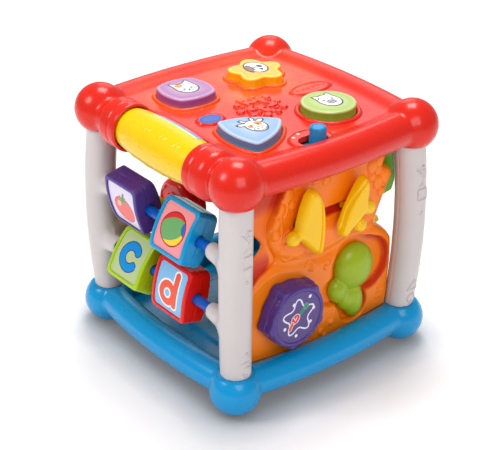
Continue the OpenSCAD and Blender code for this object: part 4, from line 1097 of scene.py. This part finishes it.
def scaled(layers, k):
    """The layers drawn k times as large."""
    return [(f and (lambda a, b, f=f: f(a / k, b / k) * k), rgb) for f, rgb in layers]

def ring(ca, cb, r, w):
    return lambda a, b: abs(length(a - ca, b - cb) - r) - w

def mirrored(f):
    return lambda a, b: least(f(a, b), f(-a, b))

# letters
def letter_c(a, b):
    wedge = a * sin(0.74) - abs(b) * cos(0.74)
    d = most(abs(length(a, b) - 5.9) - 2.1, wedge)
    return least(d, length(a - 5.9 * cos(0.74), abs(b) - 5.9 * sin(0.74)) - 2.1)

letter_a = any_of(ring(-1.6, -1, 4.7, 1.9), stroke([(4.2, 4.2), (4.2, -5.7)], 1.9))
letter_d = any_of(ring(-1.6, -2.6, 4.7, 1.9), stroke([(4.2, 8.4), (4.2, -7.3)], 1.9))

def letter_b(a, b):
    return letter_d(-a, b)

# block pictures: the outer face carries one, the inner face the other
def bold(letter, fill, edge, ground, width=0.8):
    """A letter with an outline on a plain ground."""
    return [(None, ground), (grown(letter, width), edge), (letter, fill)]

LEAVES = [(0.4 + (5.4 if k % 2 else 1.7) * sin(k * pi / 5), 3.6 + (3.4 if k % 2 else 1.4) * cos(k * pi / 5))
    for k in range(10)]
TOMATO = [(None, (226, 217, 238)), (disc(0.4, -2.0, 8.6, 7.6), (206, 62, 60)),
    (disc(0.4, -2.0, 8.1, 7.1), (240, 92, 84)), (disc(-3.4, 0.8, 1.6, 2.6, -30), (250, 176, 166)),
    (shape(LEAVES), (104, 158, 96)), (stroke([(0.4, 3.6), (1.4, 7.4)], 0.8), (88, 138, 80))]
BALL_LINE = disc(0, 0, 8.7, 8.2)
BALL = [(None, (247, 152, 160)), (disc(0, 0, 9.4, 8.9), (170, 24, 36)), (BALL_LINE, (250, 214, 60)),
    (both(BALL_LINE, outside(disc(1.9, -2.9, 9.3, 8.9))), (222, 40, 44)),
    (both(BALL_LINE, disc(-1.2, -0.3, 10.0, 5.6, 24)), (112, 174, 108)),
    (both(BALL_LINE, disc(10.0, 3.1, 4.5)), (38, 110, 190))]
CHIPS = [(disc(5.0 * cos(k * 1.9), 5.0 * sin(k * 1.9) * (0.4 + 0.12 * k), 1.15), (92, 54, 30))
    for k in range(6)]
COOKIE = [(None, (250, 222, 150)), (disc(0, 0, 8.2), (150, 92, 44)), (disc(0, 0, 7.6), (206, 150, 84))] + CHIPS
DRUMPIC = [(None, (196, 226, 240)), (shape([(-7, -6), (7, -6), (7, 4), (-7, 4)]), (222, 60, 50)),
    (stroke([(-7, 3), (-3.5, -5), (0, 3), (3.5, -5), (7, 3)], 0.5), (250, 214, 60)),
    (disc(0, 4, 7.6, 2.6), (120, 60, 40)), (disc(0, 4, 7.0, 2.0), (250, 236, 206)),
    (stroke([(-3, 5), (-8, 10)], 0.7), (150, 92, 44)), (stroke([(3, 5), (8, 10)], 0.7), (150, 92, 44))]
PICTURES = {
    "purple": (TOMATO, bold(letter_a, (214, 60, 60), (255, 255, 255), (250, 226, 160))),
    "blue": (BALL, bold(letter_b, (246, 190, 40), (120, 70, 20), (170, 214, 130))),
    "lime": (bold(letter_c, (0, 144, 224), (16, 66, 132), (190, 206, 148), 0.55), COOKIE),
    "red": (bold(letter_d, (240, 84, 52), (250, 246, 244), (134, 190, 232), 0.9), DRUMPIC)}

def film(a, b):
    return box2(a, b, 13.15, 13.75, 2.4)

for colour, (x0, z0, tilt, mat) in BLOCKS.items():
    _, to_frame = at_block(x0, z0, tilt)
    front = lambda a, b, f=to_frame: f(a, WINDOW_DEPTH - face_depth(b), b)
    back = lambda a, b, f=to_frame: f(a, face_depth(b) - WINDOW_DEPTH, -b)
    for side, place, picture in zip(("front", "back"), (front, back), PICTURES[colour]):
        sticker("picture_" + colour + "_" + side, (13.3, 13.9), film, scaled(picture, 1.16), place,
            colour + "_block", "block_" + colour)

# animal faces on the buttons; up is -x and right is +y on the deck
DARK, SNOW, PATCH = (40, 40, 66), (252, 250, 246), (236, 150, 70)
def animal(parts, details):
    """A white head with a dark outline: its film's edge and its layers."""
    whole = any_of(*parts)
    return grown(whole, 0.85), [(None, DARK), (whole, SNOW)] + [(both(f, whole), rgb) for f, rgb in details]

def dots(*at):
    return any_of(*[disc(a, b, r * 1.25) for a, b, r in at])

def whisker(*points):
    return stroke(list(points), 0.4), DARK

CAT = animal([disc(0, -1.4, 6.6, 6.9), mirrored(shape([(-6.4, 0), (-5.9, 8.6), (-1.0, 5.0)]))], [
    (disc(-2.6, 3.8, 2.8, 2.4, 30), PATCH),
    (dots((-2.5, -2.4, 0.75), (2.5, -2.4, 0.75), (0, -4.0, 0.55)), DARK),
    whisker((0, -4.2), (-1.3, -5.6)), whisker((0, -4.2), (1.3, -5.6)), whisker((-5.6, -3.6), (-3.6, -4)),
    whisker((5.6, -3.6), (3.6, -4))])
DOG = animal([disc(0, 0, 6.4, 8.2), disc(-4.4, 0.6, 2.6, 5.4, -14)], [
    (disc(-4.8, 0.4, 2.4, 5.2, -14), (150, 120, 96)), whisker((-3.2, 5.4), (-2.2, 1), (-3.6, -4.2)),
    (disc(2.8, 0.2, 1.9, 2.3), (120, 112, 120)), (dots((2.6, 0, 0.8), (-0.8, 0.2, 0.75)), DARK),
    (disc(1.2, -4.0, 1.4, 1.0), DARK), whisker((1.2, -4.6), (0.2, -6.2))])
PIG = animal([disc(0, -0.4, 6.6, 8.0), mirrored(shape([(-5.9, 2.4), (-5.4, 8.8), (-1.2, 6.4)]))], [
    whisker((-5.0, 3.6), (-2.6, 6.0)), whisker((5.0, 3.6), (2.6, 6.0)), (disc(0, -2.6, 3.2, 2.5), DARK),
    (disc(0, -2.6, 2.5, 1.8), (186, 176, 184)),
    (dots((-0.9, -2.6, 0.5), (0.9, -2.6, 0.5), (-3.2, 0.8, 0.75), (3.2, 0.8, 0.75)), DARK)])
COW = animal([disc(0, -1.0, 5.8, 7.2), mirrored(disc(-6.2, 4.0, 2.3, 1.3, -20)),
    mirrored(disc(-3.2, 7.4, 0.8, 1.9, 18))], [
    (disc(3.0, 1.4, 2.3, 2.8), PATCH), (disc(-3.6, -0.4, 1.6, 2.2), PATCH), (disc(0, -5.0, 4.4, 2.7), DARK),
    (disc(0, -5.0, 3.9, 2.2), (250, 226, 220)),
    (dots((-1.5, -4.8, 0.5), (1.5, -4.8, 0.5), (-2.4, 0.4, 0.75), (2.4, 0.4, 0.75)), DARK)])
FACES = {"square_button": (CAT, -35.4, -24.8), "star_button": (DOG, -34.8, 28.8),
    "triangle_button": (COW, 33.4, -27.0), "round_button": (PIG, 31.8, 30.2)}
for name, ((edge, layers), x0, y0) in FACES.items():
    which, slot_name, _ = BUTTONS[name]
    place = lambda a, b, x0=x0, y0=y0, which=which: (x0 - b, y0 + a, crown(which, x0 - b, y0 + a))
    sticker("face_" + name, (9.4, 10), edge, layers, place, name, slot_name, step=0.2)

# tambourine's star
def star_line(a, b):
    points = [polar(7.4 + 4.6 * (0.5 + 0.5 * cos(radians(20 * k))) ** 1.5, 20 + 4 * k) for k in range(90)]
    return path2(a, b, points, True) - 0.5

PALE = (236, 228, 246)
STAR_DOTS = dots((8.4, 11.2, 0.9), (11.4, 2.4, 0.9), (9.2, -6.2, 0.9), (-1.6, -12.2, 0.9), (-10.4, -4.6, 0.9),
    (-3.8, 9.6, 0.9))
HANDLE = [(-4.8, -3.2), (-6.4, -6.2)]
STAR_PRINT = [(None, (86, 68, 132)), (star_line, PALE), (STAR_DOTS, PALE),
    (disc(-2.4, -0.6, 3.9, 3.0, 40), (232, 226, 240)), (disc(-2.4, -0.6, 3.4, 2.5, 40), (222, 52, 62)),
    (stroke([(-3.6, 0.8), (-2.4, -1.6), (-1.2, 0.6)], 0.35), (250, 200, 200)),
    (stroke(HANDLE, 1.5), (232, 226, 240)), (stroke(HANDLE, 1.1), (230, 92, 56)),
    (stroke([(2.0, 2.2), (4.2, 4.4)], 1.4), (30, 140, 100)), (disc(5.6, 5.6, 2.2), (90, 150, 130)),
    (disc(5.6, 5.6, 1.1), (30, 140, 100))]

def on_drum(a, b):
    return 0 * a + DRUM_FRONT - 0.7, DRUM[0] + a, DRUM[1] + b

sticker("tambourine_print", (16.3, 16.3), disc(0, 0, 16.2), STAR_PRINT, on_drum, "tambourine",
    "tambourine_purple", step=0.3)

# roller's label and the blank oval badge
def on_roller(a, b):
    rho = ROLL_R - ROLL_BOW + np.sqrt(ROLL_BOW ** 2 - (a - 0.5) ** 2)
    t = 0.60 + b / 14.0
    return a + 3.5, ROLL_Y + rho * np.sin(t), ROLL_Z + rho * np.cos(t)

LABEL = [(None, (216, 224, 60)), (lambda a, b: -5.0 - b, (146, 190, 234)),
    (stroke([(-24, -5.0), (24, -5.0)], 0.5), (232, 240, 244)),
    (stroke([(-24, 5.4), (24, 5.4)], 0.6), (196, 60, 130)),
    (ring(-12, 1, 2.4, 0.5), (250, 250, 250)), (ring(10, 1, 2.4, 0.5), (250, 250, 250))]
sticker("roller_label", (23.6, 7.2), lambda a, b: box2(a, b, 23.4, 6.9, 1.5), LABEL, on_roller, "roller",
    "roller_yellow", step=0.35)

def on_deck(a0, b0, height):
    return lambda a, b: (a0 + a, b0 + b, DECK + height + 0 * a)

BADGE = [(None, (56, 104, 190)), (disc(0, 0, 5.0, 6.9), (20, 74, 164)), (disc(0, 0, 3.6, 5.4), (40, 96, 184))]
sticker("badge_oval", (5.9, 7.6), disc(0, 0, 5.5, 7.4), BADGE, on_deck(1.4, -34.2, 0.96), "frame", "red_top",
    step=0.25)
for k, at in enumerate([(48.2, -7.6), (50.4, -13.0)]):
    sticker("slider_mark_" + str(k), (1.2, 1.2), disc(0, 0, 1.0), [(None, (250, 226, 222))], on_deck(*at, 0.82),
        "frame", "red_top", step=0.2)

# ---- materials of the CAD nodes that stay
KEPT = {"blue_base": BLUE, "white_post": WHITE, "red_top": RED, "battery_shell": CELL, "brass_spring": BRASS,
    "green_board": BOARD, "clear_lens": WHITE, "zinc_steel": STEEL, "black_metal": CELL, "switch_blue": SWITCH,
    "roller_yellow": YELLOW, "axle_blue": AXLE, "block_lime": LIME, "block_red": SCARLET,
    "panel_orange": ORANGE, "cymbal_yellow": CYMBAL, "tambourine_purple": PURPLE, "maraca_green": MARACA,
    "panel_green": GREEN}
for part in frame["record"]["subparts"]:
    node = frame["nodes"][part["node"]]
    node.data.materials.clear()
    node.data.materials.append(KEPT.get(part["material_slot"], WHITE))

# ---- floor, light and camera
def stage():
    bpy.ops.mesh.primitive_plane_add(size=6, location=(0, 0, -0.0002))
    floor = bpy.context.object
    floor.name = "floor"
    mat = bpy.data.materials.new("pale_floor")
    mat.use_nodes = True
    tree = mat.node_tree
    # painted contact shadow: the floor's colour darkens towards near black where ambient occlusion finds the
    # toy within 26 mm
    shade = add_node(tree, "AmbientOcclusion", Distance=0.026)
    shade.samples = 8
    ramp = add_node(tree, "ValToRGB", Fac=shade.outputs["AO"])
    dark, pale = ramp.color_ramp.elements
    dark.color, dark.position, pale.color = (0.1, 0.1, 0.11, 1), 0.3, (0.93, 0.925, 0.935, 1)
    for key, value in {"Base Color": ramp.outputs["Color"], "Roughness": 0.9, "Emission Color": (1, 1, 1, 1),
            "Emission Strength": 0.13}.items():
        plug(tree, value, tree.nodes["Principled BSDF"].inputs[key])
    floor.data.materials.append(mat)
    world = bpy.data.worlds.new("studio")
    bpy.context.scene.world = world
    world.use_nodes = True
    for key, value in {"Color": (1, 1, 1, 1), "Strength": 0.33}.items():
        plug(world.node_tree, value, world.node_tree.nodes["Background"].inputs[key])

def area(name, place, target, size, power):
    """A square soft light, its side and place in m and its power in W."""
    data = bpy.data.lights.new(name, "AREA")
    data.energy, data.size = power, size
    lamp = put(name, data)
    lamp.location = place
    lamp.rotation_mode = "QUATERNION"
    lamp.rotation_quaternion = (Vector(target) - Vector(place)).to_track_quat("-Z", "Y")

stage()
area("key", (-0.3, -0.85, 0.85), (0, 0, 0.08), 0.4, 4.9)
area("side", (0.85, -0.3, 0.75), (0, 0, 0.08), 0.6, 4.3)
area("roof", (-0.28, 0.28, 1.2), (0, 0, 0.05), 0.5, 9.0)
area("sheen", (-0.75, 0.62, 0.70), (0, 0, 0.12), 0.5, 1.0)

cam = bpy.data.cameras.new("camera")
cam.lens, cam.sensor_width = 96.66, 36
cam.clip_start, cam.clip_end = 0.01, 20
eye = put("camera", cam)
forward = Vector((-0.68287, 0.55567, -0.47425)).normalized()
right = forward.cross(Vector((0, 0, 1))).normalized()
up = right.cross(forward)
roll = radians(0.622)
right, up = right * cos(roll) + up * sin(roll), up * cos(roll) - right * sin(roll)
place = Matrix((right, up, -forward)).transposed().to_4x4()
place.translation = Vector((568.749, -465.496, 469.258)) * MM
eye.matrix_world = place
bpy.context.scene.camera = eye
bpy.context.scene.view_settings.view_transform = "Standard"
